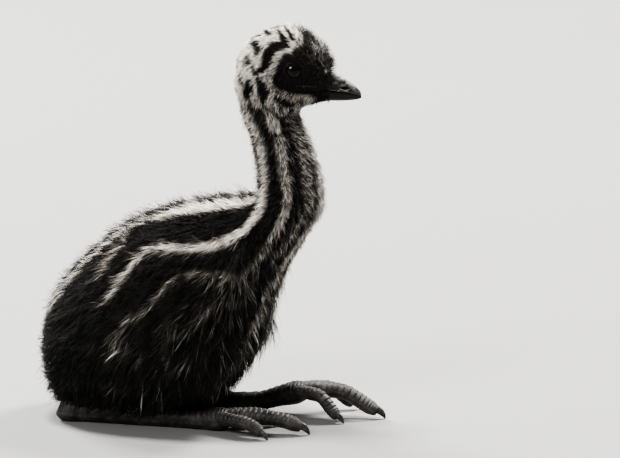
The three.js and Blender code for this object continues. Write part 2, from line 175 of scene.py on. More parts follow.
def grid_faces(rows: int, columns: int, closed: bool) -> list:
    """Lists the four-sided faces of a grid of points.

    Args:
        rows: number of rows.
        columns: number of points in a row.
        closed: whether the last column joins the first.

    Returns:
        The faces, as indices of points.
    """
    across = columns if closed else columns - 1
    row, column = np.meshgrid(np.arange(rows - 1), np.arange(across), indexing="ij")
    after = (column + 1) % columns
    first, second = row * columns, (row + 1) * columns
    corners = (first + column, first + after, second + after, second + column)
    return np.stack(corners, -1).reshape(-1, 4).tolist()


def closed_loft(rings: Array) -> tuple:
    """Closes a stack of rings with a fan at each end.

    Args:
        rings: points by ring and by place in the ring.

    Returns:
        The points, one a row, and the faces.
    """
    rows, columns = rings.shape[:2]
    points = rings.reshape(-1, 3)
    faces = grid_faces(rows, columns, True)
    ends = np.stack([rings[0].mean(0), rings[-1].mean(0)])
    first = rows * columns
    last = (rows - 1) * columns
    for k in range(columns):
        after = (k + 1) % columns
        faces.append([first, after, k])
        faces.append([first + 1, last + k, last + after])
    return np.concatenate([points, ends]), faces


def joined(parts: list) -> tuple:
    """Joins meshes into one.

    Args:
        parts: the points and faces of each.

    Returns:
        The points and faces of them all.
    """
    points, faces, first = [], [], 0
    for corners, polygons in parts:
        points.append(corners)
        faces += [[first + index for index in face] for face in polygons]
        first += len(corners)
    return np.concatenate(points), faces


def make_object(name: str, points: Array, faces: list, smooth: bool = True) -> Object:
    """Makes a mesh object at the origin.

    Args:
        name: the object's name.
        points: its points in metres.
        faces: its faces.
        smooth: whether its faces are shaded smooth.

    Returns:
        The new object.
    """
    mesh = bpy.data.meshes.new(name)
    mesh.from_pydata(np.asarray(points).tolist(), [], faces)
    mesh.validate()
    if smooth:
        mesh.shade_smooth()
    made = bpy.data.objects.new(name, mesh)
    bpy.context.scene.collection.objects.link(made)
    return made


def point_outwards(made: Object) -> None:
    """Turns a closed mesh's faces outwards where its volume says that they point in.

    Args:
        made: the object.
    """
    mesh = made.data
    mesh.calc_loop_triangles()
    corners = np.array([v.co[:] for v in mesh.vertices])
    index = np.array([t.vertices[:] for t in mesh.loop_triangles])
    a, b, c = corners[index[:, 0]], corners[index[:, 1]], corners[index[:, 2]]
    if np.einsum("ij,ij->i", a, np.cross(b, c)).sum() < 0:
        mesh.flip_normals()


def store(mesh: Mesh, name: str, values: Array, domain: str = "POINT") -> None:
    """Stores numbers on a mesh as a named attribute.

    Args:
        mesh: the mesh.
        name: the attribute's name.
        values: one number or vector for each element.
        domain: the elements.
    """
    values = np.asarray(values)
    if values.dtype.kind in "iu":
        kind, key = "INT", "value"
    elif values.ndim > 1:
        kind, key = "FLOAT_VECTOR", "vector"
    else:
        kind, key = "FLOAT", "value"
    layer = mesh.attributes.new(name, kind, domain)
    layer.data.foreach_set(key, values.astype(np.int32 if kind == "INT" else np.float32).ravel())


def dress(made: Object, material: Material, slot: str, *replaced: str) -> None:
    """Gives a finished piece its material, its body and the CAD nodes that it stands for.

    Args:
        made: the piece.
        material: its material.
        slot: its material slot; not used.
        replaced: the nodes that it replaces.
    """
    made.data.materials.clear()
    made.data.materials.append(material)
    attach(made, BODY)
    if replaced:
        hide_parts(*replaced)
    LOG.info("%s: %d faces", made.name, len(made.data.polygons))


class Tree:
    """A node tree under construction, with short calls for its nodes, links and group sockets."""

    def __init__(self, tree: NodeTree) -> None:
        """Keeps the tree."""
        self.tree = tree

    def link(self, source: NodeSocket, target: NodeSocket) -> None:
        """Joins two sockets."""
        self.tree.links.new(source, target)

    def add(self, kind: str, inputs: dict | None = None, **settings: object) -> Node:
        """Adds a node.

        Args:
            kind: the node's type.
            inputs: a socket or a constant for inputs, by name or number.
            settings: the node's own settings.

        Returns:
            The new node.
        """
        node = self.tree.nodes.new(kind)
        for key, value in settings.items():
            setattr(node, key, value)
        for key, value in (inputs or {}).items():
            if isinstance(value, NodeSocket):
                self.link(value, node.inputs[key])
            elif value is not None:
                node.inputs[key].default_value = value
        return node

    def math(self, operation: str, *values: object, clamp: bool = False) -> NodeSocket:
        """Adds a Math node, whose result can be kept from 0 to 1."""
        inputs = dict(enumerate(values))
        return self.add("ShaderNodeMath", inputs, operation=operation, use_clamp=clamp).outputs[0]

    def product(self, *values: object) -> NodeSocket:
        """Multiplies numbers, from the first one on."""
        return reduce(lambda first, other: self.math("MULTIPLY", first, other), values)

    def vector(self, operation: str, *values: object) -> NodeSocket:
        """Adds a Vector Math node and gives its vector, or its number where that is what it gives."""
        node = self.add("ShaderNodeVectorMath", dict(enumerate(values)), operation=operation)
        return node.outputs[1 if operation == "DOT_PRODUCT" else 0]

    def scaled(self, vector: object, factor: object) -> NodeSocket:
        """Multiplies a vector by a number."""
        return self.add("ShaderNodeVectorMath", {0: vector, "Scale": factor}, operation="SCALE").outputs[0]

    def range(self, value: object, low: float, high: float, to_low: float = 0, to_high: float = 1) -> object:
        """Maps a number smoothly from one range to another."""
        inputs = {0: value, 1: low, 2: high, 3: to_low, 4: to_high}
        return self.add("ShaderNodeMapRange", inputs, interpolation_type="SMOOTHSTEP").outputs[0]

    def mix(self, share: object, first: object, second: object) -> NodeSocket:
        """Mixes two colours, by how much of the second shows."""
        return self.add("ShaderNodeMix", {0: share, 6: first, 7: second}, data_type="RGBA").outputs[2]

    def attribute(self, name: str) -> NodeSocket:
        """Reads an attribute in a material, as a number."""
        return self.add("ShaderNodeAttribute", attribute_name=name).outputs["Fac"]

    def place(self) -> NodeSocket:
        """Gives the place on the piece in a material."""
        return self.add("ShaderNodeTexCoord").outputs["Object"]

    def noise(self, place: object, scale: float, detail: float = 2, roughness: float = 0.5) -> object:
        """Adds a Noise Texture and gives it as a number."""
        inputs = {"Vector": place, "Scale": scale, "Detail": detail, "Roughness": roughness}
        return self.add("ShaderNodeTexNoise", inputs).outputs[0]


def new_group(name: str, kind: str, inputs: dict, outputs: dict) -> tuple:
    """Makes a node group with named sockets.

    Args:
        name: the group's name.
        kind: the type of tree.
        inputs: socket type and default value by name.
        outputs: socket type by name.

    Returns:
        The tree's helper, what goes into the group and what comes out of it.
    """
    group = bpy.data.node_groups.new(name, kind)
    for label, (socket, value) in inputs.items():
        made = group.interface.new_socket(name=label, in_out="INPUT", socket_type=socket)
        if value is not None:
            made.default_value = value
    for label, socket in outputs.items():
        group.interface.new_socket(name=label, in_out="OUTPUT", socket_type=socket)
    tree = Tree(group)
    return tree, tree.add("NodeGroupInput").outputs, tree.add("NodeGroupOutput").inputs


# The bird's form, as in the CAD source: millimetres, with x forward, y to its left and z up


class Side(Enum):
    """The two sides of the bird, with the sign of y."""

    LEFT = 1
    RIGHT = -1

    @property
    def label(self) -> str:
        """The side's name as the nodes have it."""
        return self.name.lower()


@dataclass(frozen=True)
class Turn:
    """How the head is turned about an upright axis in the neck."""

    angle: float = np.radians(15)
    axis_x: float = 80.2
    low: float = 150
    high: float = 195

    def apply(self, points: Array, whole: bool = False) -> Array:
        """Turns points.

        Args:
            points: places on the unturned bird.
            whole: whether they turn with the head whatever their height.

        Returns:
            The turned places.
        """
        share = 1.0 if whole else smooth_step(points[..., 2], self.low, self.high)
        cosine, sine = np.cos(self.angle * share), np.sin(self.angle * share)
        ahead = points[..., 0] - self.axis_x
        x = self.axis_x + ahead * cosine - points[..., 1] * sine
        return np.stack([x, ahead * sine + points[..., 1] * cosine, points[..., 2]], -1)


TURN = Turn()


@dataclass(frozen=True)
class EyePlace:
    """Where the eyes sit in the unturned head, in mm."""

    x: float = 85.1
    y: float = 11.4
    z: float = 224.8
    radius: float = 6.4
    axis: tuple = (0.22, 0.97, 0.08)

    def centre(self, side: Side) -> Array:
        """The eye's middle on one side."""
        return np.array([self.x, side.value * self.y, self.z])

    def look(self, side: Side) -> Array:
        """The way that the eye looks on one side."""
        return unit(np.array([self.axis[0], side.value * self.axis[1], self.axis[2]]))


EYE = EyePlace()


def to_metres(points: Array) -> Array:
    """Moves points from the source's millimetres to the frame's metres.

    Args:
        points: places in the source's frame.

    Returns:
        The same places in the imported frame.
    """
    low, high = (np.array(corner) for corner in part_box("eye_right"))
    known = TURN.apply(EYE.centre(Side.RIGHT), whole=True) * MM
    return np.asarray(points) * MM + ((low + high) / 2 - known)


@dataclass(frozen=True)
class CoatForm:
    """The coat's outline from tail to bill, as cross-sections between a back point and a front point."""

    # back x, back z, front x, front z, half-width, how much wider it is low down
    sections: tuple = (
        (-75.5, 49, -76, 43, 4, 0),
        (-72.5, 67, -74, 25, 22, 0.05),
        (-63, 85, -66, 6, 38, 0.1),
        (-46, 104, -48, -2, 49, 0.13),
        (-22, 122.5, -22, -4, 55.5, 0.14),
        (4, 135, 6, -4, 58, 0.14),
        (28, 142, 34, 6, 56.5, 0.12),
        (46, 145, 56, 29, 51, 0.09),
        (57, 146.5, 71, 60, 44, 0.05),
        (61.5, 147.5, 80, 92, 36, 0),
        (63.5, 149.5, 94, 117, 28.5, 0),
        (64, 154, 104.5, 134, 22.5, 0),
        (63.5, 162, 105.5, 150, 19, 0),
        (61.5, 172, 101.5, 167, 17, 0),
        (58.8, 183, 96, 181, 15.8, 0),
        (54.5, 194, 92, 191.5, 15.5, 0),
        (50.7, 205, 91, 196.5, 15.8, 0),
        (48.8, 216, 93, 199, 16.5, 0),
        (51.5, 230, 96, 200.5, 17.3, 0),
        (60, 243, 99, 201.8, 17.8, 0),
        (73, 250, 101.5, 202.6, 17.8, 0),
        (86, 250.5, 103.5, 203.2, 16.8, 0),
        (97, 242, 105, 203.6, 14.6, 0),
        (105, 233, 106.3, 204, 11.8, 0),
        (109, 222.8, 107.5, 204.4, 9.1, 0),
    )
    # x, z, height and spread of the swellings of the face
    relief: tuple = (
        (85.1, 224.8, -2.0, 6),
        (88, 236, 0.9, 4.5),
        (84, 213.5, 0.8, 5),
        (99, 219, -0.9, 5),
    )
    head_from: float = 15

    @property
    def last(self) -> int:
        """The section at the bill."""
        return len(self.sections) - 1

    def unturned(self, s: Array, angle: Array) -> Array:
        """Finds points of the coat's outside on the unturned bird.

        Args:
            s: sections.
            angle: angles round the body from the back line over the right side, in radians.

        Returns:
            The points in mm.
        """
        s, angle = np.broadcast_arrays(np.asarray(s, float), np.asarray(angle, float))
        row = smooth_table(self.sections, s)
        share = (1 + np.cos(angle)) / 2
        x = row[..., 2] + (row[..., 0] - row[..., 2]) * share
        z = row[..., 3] + (row[..., 1] - row[..., 3]) * share
        reach = row[..., 4] * (1 - row[..., 5] * np.cos(angle)) * np.sin(angle)
        raised = np.zeros(s.shape)
        for spot_x, spot_z, height, spread in self.relief:
            gap = (x - spot_x) ** 2 + (z - spot_z) ** 2
            raised += height * np.exp(-gap / (2 * spread**2))
        raised *= np.abs(np.sin(angle)) * (s > self.head_from)
        return np.stack([x, -(reach + np.sign(reach) * raised), z], -1)


FORM = CoatForm()


# Markings


@dataclass(frozen=True)
class Stripe:
    """A stripe of the coat, drawn on both sides along points of (section, degrees from the back line)."""

    points: tuple
    widths: tuple
    pale: tuple = (1.0,)
    soft: float = 1.1
    ragged: float = 1.4

    def cover(self, flat: Array, noise: Array) -> Array:
        """Says how much of the stripe shows.

        Args:
            flat: places on the unturned coat, one a row.
            noise: ragged noise at these places, from -1 to 1.

        Returns:
            How pale the stripe is at each place, 0 beside it.
        """
        s, degrees = (np.array(values, float) for values in zip(*self.points))
        fine = np.linspace(0, len(s) - 1, 6 * (len(s) - 1) + 1)
        widths = np.interp(fine, np.linspace(0, len(s) - 1, len(self.widths)), self.widths)
        pale = np.interp(fine, np.linspace(0, len(s) - 1, len(self.pale)), self.pale)
        line = FORM.unturned(smooth_table(s, fine), np.radians(smooth_table(degrees, fine)))
        mirrored = flat * np.array([1, -1, 1])
        gap, along = line_distance(np.where(flat[:, 1:2] > 0, mirrored, flat), line)
        half = np.interp(along, np.arange(len(fine)), widths) / 2
        edge = gap + noise * self.ragged * np.clip(half / 2.5, 0.4, 1)
        shown = fade(edge - half, -self.soft, self.soft)
        return shown * np.interp(along, np.arange(len(fine)), pale)


@dataclass(frozen=True)
class Dab:
    """A mark of the head, drawn in side view along points of (x, z) in mm, pale or dark."""

    points: tuple
    widths: tuple
    pale: float = 0.0
    soft: float = 0.7
    ragged: float = 0.8

    def cover(self, flat: Array, noise: Array) -> Array:
        """Says how much of the mark shows.

        Args:
            flat: places on the unturned coat, one a row.
            noise: ragged noise at these places, from -1 to 1.

        Returns:
            The mark's share at each place.
        """
        line = np.array(self.points, float)
        if len(line) == 1:
            line = np.repeat(line, 2, 0)
        gap, along = line_distance(flat[:, [0, 2]], line)
        half = np.interp(along, np.linspace(0, len(line) - 1, len(self.widths)), self.widths) / 2
        return fade(gap + noise * self.ragged - half, -self.soft, self.soft)


@dataclass(frozen=True)
class Markings:
    """Where the chick's coat is pale and where it is dark, from 0 to 1, and how streaky it is."""

    stripes: tuple = (
        # beside the middle of the back and down the rump
        Stripe(
            ((15.4, 16), (14, 15), (12.5, 14), (11, 16), (10.2, 19), (9.1, 21), (7.6, 19), (6.6, 18),
             (5.9, 18), (5.3, 17), (4.9, 16), (4.2, 16), (3.5, 20), (2.9, 25), (2.4, 30), (1.8, 36),
             (1.2, 44), (0.75, 54), (0.4, 66)),
            (3, 3, 3.5, 4, 5, 7.5, 9.5, 10.5, 10, 8.5, 6.6, 5.4, 5.4, 6.2, 6.8, 6.2, 5, 3.6, 2),
            pale=(1, 1, 1, 1, 1, 1, 1, 0.95, 0.6, 0.25),
        ),
        # faint broken marks of the lower rump
        Stripe(((3.7, 75), (3.1, 80), (2.5, 86), (1.9, 92)), (2, 3, 3, 2), (0.15, 0.3, 0.22, 0.1), 1.1, 2.6),
        Stripe(((2.5, 56), (2, 62), (1.5, 70), (1, 80)), (1.6, 3, 3, 2), (0.15, 0.4, 0.3, 0.1), 1.1, 2.4),
        # short inner stripe of the rump
        Stripe(
            ((4.36, 21.5), (4.26, 25), (4.15, 30), (4.05, 34.5), (3.95, 38.5), (3.84, 43), (3.74, 48),
             (3.66, 52)),
            (1.4, 2.6, 3.4, 3.8, 3.8, 3.4, 2.6, 1.2),
        ),
        # down the side of the neck, over the shoulder and along the back to the rump
        Stripe(
            ((16, 33), (15, 38), (14, 46), (13, 48), (12, 48), (11.2, 49), (10.5, 53), (9.8, 60),
             (9.1, 61), (8.2, 56), (7.4, 54), (6.6, 52), (5.7, 48), (5.1, 43), (4.9, 43), (4.65, 48),
             (4.4, 57), (4.2, 63), (4, 69)),
            (5.5, 6.5, 6.5, 6, 6, 6, 6.5, 7, 7, 7, 6.5, 6, 5.5, 4.8, 4.4, 4.6, 4.6, 4.2, 2),
        ),
        # down the neck behind the throat and over the flank
        Stripe(
            ((16.2, 92), (15, 89), (14, 90), (13, 88), (12, 92), (11.6, 95), (11, 100), (10.4, 105),
             (9.8, 109), (9.2, 111), (8.6, 102), (8, 92), (7.6, 84), (7, 74), (6.2, 66), (5.7, 65),
             (5.45, 69), (5.2, 76), (4.9, 79), (4.7, 80), (4.5, 84), (4.36, 91), (4.3, 100)),
            (7, 7.4, 7.4, 7.2, 7, 6.8, 6.8, 6.4, 6, 5.5, 5.5, 5, 5, 4.6, 4.4, 4.2, 4, 3.8, 3.6, 3.6,
             3.4, 3, 1.6),
            pale=(0.82, 0.76, 0.72, 0.7, 0.66, 0.62, 0.5, 0.55, 0.6, 0.6, 0.55),
            ragged=1.9,
        ),
        # faint stripe of the lower flank
        Stripe(
            ((9, 131), (8.1, 119), (7.5, 104), (7.1, 94), (6.5, 92), (6, 95), (5.5, 98), (5, 104),
             (4.8, 112)),
            (4, 4.5, 4.5, 4, 4, 3.6, 3.4, 3, 1.6),
            pale=(0.34,),
            ragged=2.6,
        ),
        # side of the throat
        Stripe(
            ((15, 133), (14, 136), (13, 134), (12, 133), (11, 136), (10, 138), (9.2, 134)),
            (5, 6, 7, 7, 6, 6, 4),
            pale=(0.45,),
            ragged=3.0,
        ),
        # front of the throat and breast
        Stripe(
            ((15.6, 176), (14, 174), (12, 172), (11, 172), (10, 168), (9.2, 163), (8.3, 159),
             (7.8, 155), (7.3, 151), (6.7, 152), (6.2, 156)),
            (8, 8, 8, 8, 8, 8, 9, 9, 9, 8, 5),
            pale=(0.7, 0.7, 0.76, 0.82, 0.74, 0.6, 0.4),
            ragged=3.0,
        ),
    )
    dabs: tuple = (
        # dark face, from the forehead over the eye to the gape: partly the face's own darker colour, partly
        # painted shade
        Dab(((85, 228.6), (91, 228)), (16.6, 17), soft=1.0),
        Dab(((81.6, 225.6), (90, 224)), (12.6, 16), soft=1.0),
        Dab(((79.2, 219.2), (88, 219)), (12.2, 16), soft=1.0),
        Dab(((84.6, 215.4), (97, 214), (108, 212)), (8.6, 10.5, 15), soft=0.9),
        Dab(((94, 234), (101, 227), (107, 219)), (15, 17, 14), soft=1.4),
        Dab(((97, 240), (103.5, 234), (109, 226)), (7, 8, 8), soft=1.2),
        # pale ring from over the eye behind the ear to the chin
        Dab(
            ((86.8, 233), (85, 235.4), (82.2, 237.4), (78.4, 236), (74.6, 231.2), (71.9, 225.8),
             (70.4, 220.4), (71.5, 215.6), (75.4, 212), (79.8, 209.7), (84.6, 208), (89, 206.8),
             (94.4, 205)),
            (1, 2, 2.6, 4.4, 5.6, 5.4, 4.4, 5, 4.8, 4, 4.4, 4.2, 2.6),
            pale=0.84,
        ),
        # black bow behind the ring, with its two tips on the crown
        Dab(
            ((83.6, 240.2), (80, 240.7), (76, 240.3), (73.3, 239.4), (71.2, 236.2), (69.7, 232.4),
             (69.2, 229.2), (67.2, 226.2), (64.2, 225)),
            (1.4, 3.6, 4.8, 5.8, 6.4, 5.8, 4.6, 3.4, 2.4),
        ),
        Dab(((77.4, 249.6), (78.5, 247), (80, 244.4), (81.2, 241.6)), (1.6, 2.2, 3.6, 5)),
        Dab(((72.4, 243.4), (73.4, 240.4)), (1.0, 2.6)),
        # blots of the back of the head
        Dab(((60.6, 240.6), (62.8, 240.6), (63.6, 237.6)), (2.4, 4.8, 3)),
        Dab(((63.2, 235.4),), (1.7,)),
        Dab(((66.0, 239.3),), (1.3,)),
        Dab(((57.4, 233.2), (57.9, 230.6)), (2, 3)),
        Dab(((54.6, 229.2), (55.6, 227.6)), (1.0, 1.4)),
        Dab(((60.2, 229.4), (61, 226), (62.4, 223.4), (64, 223.8)), (1.1, 1.7, 1.9, 1.1)),
        Dab(((53, 221), (53.2, 217.6), (55, 216.4)), (1.6, 1.9, 2)),
        Dab(((57.6, 218.2), (57.7, 214.6), (57, 211.6)), (3.2, 4.6, 2.6)),
        Dab(((55.2, 211.4), (55.9, 208.2)), (2.8, 3.2)),
        Dab(((64.6, 219.6), (66, 216), (66.6, 212.6), (67.4, 209.6), (66.2, 207)), (4, 5, 6, 5.4, 2.6)),
        Dab(((68.4, 211.4), (70.8, 211)), (2.6, 1.0)),
        # throat side
        Dab(((75.2, 208.2), (78.4, 206.2), (82.4, 203.6), (86, 203), (88.2, 203.2)), (2, 4, 3.6, 3, 1.4)),
        Dab(((66.4, 205), (68.8, 202.8)), (1.6, 2)),
        Dab(((68.6, 202), (71.8, 200.8)), (2, 2.4)),
        Dab(((57.5, 203.8), (58.6, 200.4), (59.4, 197.4), (60.4, 194)), (2.6, 3.2, 2.8, 1.4)),
        Dab(((62.6, 200.8), (64.6, 202.2)), (1.1, 1.2)),
        Dab(((64.2, 199.8), (66.4, 196.6), (67.6, 193)), (2.4, 3.2, 3.6)),
        Dab(((71.6, 198.4), (74.4, 199.4)), (1.2, 1.2)),
        Dab(((76.6, 194.4), (79.2, 193)), (2.6, 2.4)),
        Dab(((79.4, 196.4), (83, 195.6)), (1.6, 1.8)),
        Dab(((86, 193), (89, 192.4)), (2, 2)),
        Dab(((91.2, 203.4), (92.4, 201.6)), (1.2, 1.2)),
        Dab(((84, 199.4), (86.6, 198.4)), (1.2, 1.2)),
        Dab(((77.4, 201.4), (79.4, 200)), (1.2, 1.3)),
        # dashes of the crown and forehead
        Dab(((68.8, 248.1), (71.8, 247.9)), (1.5, 2.2)),
        Dab(((75.4, 249.4),), (1.2,)),
        Dab(((82, 250.8), (83.6, 248), (85.6, 245), (86.2, 243.6)), (1.5, 1.9, 2.7, 1.4)),
        Dab(((86.8, 249.6),), (1.5,)),
        Dab(((88, 244), (88, 240), (86.8, 237), (86.6, 234)), (1.1, 1.3, 2.6, 3)),
        Dab(((91.4, 247.2), (93, 244.6), (95.4, 241.4), (97.4, 236)), (1.6, 3, 3, 4)),
        Dab(((90.4, 244), (90.2, 241)), (1.0, 1.2)),
        Dab(((93.4, 241), (92.6, 237)), (1.4, 2.2)),
        # pale streaks of the forehead
        Dab(((88.8, 240), (88.6, 237.6)), (2, 1.6), pale=0.7),
        Dab(((91.1, 242.8), (92.2, 240)), (1.3, 1.2), pale=0.95),
        Dab(((95.4, 235.6), (96, 232.6)), (1.8, 1.4), pale=0.34),
        Dab(((97, 237.6), (98.6, 232.4)), (1.1, 1.3), pale=0.4),
        Dab(((99.6, 241), (99.6, 234)), (1.2, 1.0), pale=0.75),
        Dab(((102.4, 238), (102.6, 229.4)), (1.3, 1.5), pale=0.7),
        Dab(((104.2, 230), (104.4, 226)), (1.0, 1.1), pale=0.6),
        Dab(((105.7, 225.8), (106, 222.2)), (1.1, 1.2), pale=0.75),
        # dark under the bill
        Dab(((100.4, 203.4), (104.5, 205.6), (109, 205.6)), (3, 8, 10), soft=1.0),
        # pale edge of the gape: partly the bare skin of the gape, partly painted highlight
        Dab(((87.8, 215.2), (92, 215), (99.6, 214.4)), (0.5, 0.9, 0.8), 0.5, 0.3, 0.2),
    )
    # dark dashes beside the middle of the crown and of the back of the head
    dashes: tuple = (
        Stripe(((16.3, 3), (17.1, 5)), (1.2, 1.8, 1), (1.0,), 0.7, 0.8),
        Stripe(((17.7, 6), (18.4, 4)), (1.4, 2, 1), (1.0,), 0.7, 0.8),
        Stripe(((18.9, 5), (19.5, 9)), (1.2, 1.8, 1), (1.0,), 0.7, 0.8),
        Stripe(((20, 3), (20.6, 7)), (1.2, 1.7, 1), (1.0,), 0.7, 0.8),
        Stripe(((21.2, 4), (21.9, 6)), (1.2, 1.6, 1), (1.0,), 0.7, 0.8),
    )
    head_low: float = 15.3
    head_high: float = 16.3
    drift: float = 5
    # painted shade: share that the head is dulled from the ear down to the chin
    shade_and_fleck_dim: float = 0.27
    broken: float = 0.75

    def pale(self, s: Array, flat: Array) -> Array:
        """Says how pale the coat is.

        Args:
            s: sections, one a place.
            flat: places on the unturned coat, one a row.

        Returns:
            0 for the dark of the stripes, 1 for the pale.
        """
        ragged = cloud(flat, 2.6, 3) + 0.6 * cloud(flat, 1.1, 5) - 0.8
        drift = np.stack([cloud(flat, 9, seed) - 0.5 for seed in (21, 22, 23)], -1) * self.drift
        flat = flat + drift * smooth_step(flat[:, 1:2], 1, 5)
        body = np.zeros(len(flat))
        for stripe in self.stripes:
            body = np.maximum(body, stripe.cover(flat, ragged))
        head = np.ones(len(flat))
        for dab in self.dabs:
            head += (dab.pale - head) * dab.cover(flat, ragged)
        for dash in self.dashes:
            head *= 1 - dash.cover(flat, ragged)
        # painted shade: the head duller from the ear down to the chin
        shade_and_fleck_dimmed = smooth_step(flat[:, 0] - flat[:, 2], -166, -143) * fade(flat[:, 2], 228, 237)
        head = head * (1 - self.shade_and_fleck_dim * shade_and_fleck_dimmed)
        share = smooth_step(s + ragged * 0.5, self.head_low, self.head_high)
        broken = smooth_step(s, 12.6, 15.4) * smooth_step(cloud(flat, 2.4, 11), 0.52, 0.7) * self.broken
        return np.clip(body * (1 - broken) * (1 - share) + head * share, 0, 1)

    def streak(self, s: Array, degrees: Array, flat: Array) -> Array:
        """Says how much single tufts are paler than the dark round them.

        Args:
            s: sections.
            degrees: angles from the back line, always positive.
            flat: places on the unturned coat.

        Returns:
            The greatest rise in tone of a tuft.
        """
        low = smooth_step(degrees, 68, 100) * smooth_step(s, 3, 4.6) * fade(s, 9, 10.5)
        turned = flat @ np.array([[0.87, 0.11, 0.0], [0.0, 0.0, 0.3], [-0.5, 0.19, 0.0]])
        patches = smooth_step(cloud(flat, 15, 33), 0.36, 0.58)
        strands = smooth_step(cloud(turned, 2.3, 31), 0.5, 0.72) * patches
        low = low * (0.2 + 1.9 * strands) + 0.3 * strands * fade(s, 2.5, 4)
        low = low * (2.1 - 1.1 * smooth_step(flat[:, 2], 24, 74))
        middle = fade(degrees, 7, 15) * smooth_step(s, 4.6, 6) * fade(s, 15, 16)
        throat = smooth_step(degrees, 112, 128) * smooth_step(s, 9, 10.5) * fade(s, 15, 16)
        bristly = smooth_step(cloud(flat * np.array([1, 1, 0.4]), 0.9, 41), 0.5, 0.66)
        front = smooth_step(s, 20.6, 22.4) * smooth_step(flat[:, 2], 217, 226) * (0.16 + 0.9 * bristly)
        front = np.maximum(front, 0.16 * smooth_step(s, 18.6, 20))
        speckled = band(s, 12.6, 14, 16, 17) * smooth_step(degrees, 78, 98)
        speckled = speckled * smooth_step(cloud(flat, 1.1, 43), 0.5, 0.64)
        neck = band(s, 9.5, 11.5, 15.5, 16.5)
        head = 0.9 * front + 0.75 * speckled
        return 0.06 + 0.42 * low + 0.6 * middle + 0.5 * throat + 0.3 * neck + head


# Finishes: shared node groups, and one class for each material

SURFACE = {"Color": COLOUR, "Roughness": NUMBER, "Height": NUMBER}
# near-black that the dark colour and, on the bill, the painted shade are mixed towards
DARK_AND_SHADE_COLOUR = (0.012, 0.011, 0.01, 1)


def tone_group() -> NodeTree:
    """Makes the group that colours down from its tone, with a fine variation along and across the fibres.

    Returns:
        The node group.
    """
    inputs = {
        "Tone": (NUMBER, 0.5),
        "Dark": (COLOUR, (0.02, 0.017, 0.015, 1)),
        "Middle": (COLOUR, (0.2, 0.17, 0.14, 1)),
        "Pale": (COLOUR, (0.8, 0.75, 0.67, 1)),
        "Scale": (NUMBER, 300),
        "Variation": (NUMBER, 0.2),
    }
    tree, given, made = new_group("down_tone", "ShaderNodeTree", inputs, SURFACE)
    place = tree.place()
    fine = tree.noise(place, given["Scale"], 3, 0.6)
    broad = tree.noise(place, 60, 2, 0.5)
    shifted = tree.math("MULTIPLY_ADD", tree.math("SUBTRACT", fine, 0.5), given["Variation"], given["Tone"])
    tone = tree.math("MULTIPLY_ADD", tree.math("SUBTRACT", broad, 0.5), 0.12, shifted, clamp=True)
    dark = tree.mix(tree.range(tone, 0.02, 0.5), given["Dark"], given["Middle"])
    tree.link(tree.mix(tree.range(tone, 0.4, 0.98), dark, given["Pale"]), made["Color"])
    tree.link(tree.range(fine, 0.3, 0.7, 0.62, 0.85), made["Roughness"])
    tree.link(fine, made["Height"])
    return tree.tree


def relief_group() -> NodeTree:
    """Makes the group for horn and bare skin: cloudy colour, fine grain and creases, darkened towards
    near-black by an input that carries the piece's dark colour and, on the bill, painted shade; its paler
    second colour, for wear, also makes the bill's painted highlights.

    Returns:
        The node group.
    """
    inputs = {
        "Base": (COLOUR, (0.1, 0.1, 0.1, 1)),
        "Worn": (COLOUR, (0.3, 0.3, 0.3, 1)),
        "Crease": (NUMBER, 0.0),
        "Scale": (NUMBER, 200),
        "Cells": (NUMBER, 900),
        "Gloss": (NUMBER, 0.4),
    }
    tree, given, made = new_group("horn_relief", "ShaderNodeTree", inputs, SURFACE)
    place = tree.place()
    cloudy = tree.noise(place, given["Scale"], 4, 0.6)
    voronoi = tree.add("ShaderNodeTexVoronoi", {"Vector": place, "Scale": given["Cells"]})
    cells = tree.range(voronoi.outputs["Distance"], 0.1, 0.6)
    open_part = tree.math("SUBTRACT", 1.0, given["Crease"], clamp=True)
    worn = tree.math("MULTIPLY", tree.range(cloudy, 0.35, 0.7), open_part, clamp=True)
    mixed = tree.mix(worn, given["Base"], given["Worn"])
    shade = tree.range(cells, 0, 1, 0.0, 0.25)
    darkened_and_shaded = tree.math("MAXIMUM", shade, tree.product(given["Crease"], 0.75), clamp=True)
    tree.link(tree.mix(darkened_and_shaded, mixed, DARK_AND_SHADE_COLOUR), made["Color"])
    tree.link(tree.math("MULTIPLY_ADD", cloudy, 0.25, given["Gloss"]), made["Roughness"])
    tree.link(tree.math("MULTIPLY_ADD", cells, -0.6, cloudy), made["Height"])
    return tree.tree


def shared(name: str) -> NodeTree:
    """Finds a shared node group by its name, or makes it at its first use."""
    makers = {"down_tone": tone_group, "horn_relief": relief_group}
    return bpy.data.node_groups.get(name) or makers[name]()


def new_material(name: str) -> tuple:
    """Starts a material with nodes.

    Args:
        name: its name.

    Returns:
        The material, its tree's helper and its Principled shader.
    """
    material = bpy.data.materials.new(name)
    material.use_nodes = True
    return material, Tree(material.node_tree), material.node_tree.nodes["Principled BSDF"]


def finished(name: str, group: str, values: dict, links: dict, depth: float, **constants: float) -> object:
    """Makes a material whose colour, roughness and fine relief come from a shared group.

    Args:
        name: the material's name.
        group: the group's name.
        values: constants for the group's inputs, by name.
        links: for its other inputs, what makes each one from the material's tree.
        depth: the bump's depth in metres.
        constants: values for the shader's own sockets.

    Returns:
        The material.
    """
    material, tree, shader = new_material(name)
    node = tree.add("ShaderNodeGroup", node_tree=shared(group))
    for label, value in values.items():
        node.inputs[label].default_value = value
    for label, source in links.items():
        tree.link(source(tree), node.inputs[label])
    tree.link(node.outputs["Color"], shader.inputs["Base Color"])
    tree.link(node.outputs["Roughness"], shader.inputs["Roughness"])
    relief = {"Height": node.outputs["Height"], "Strength": 1.0, "Distance": depth}
    tree.link(tree.add("ShaderNodeBump", relief).outputs[0], shader.inputs["Normal"])
    for label, value in constants.items():
        shader.inputs[label.replace("_", " ")].default_value = value
    return material


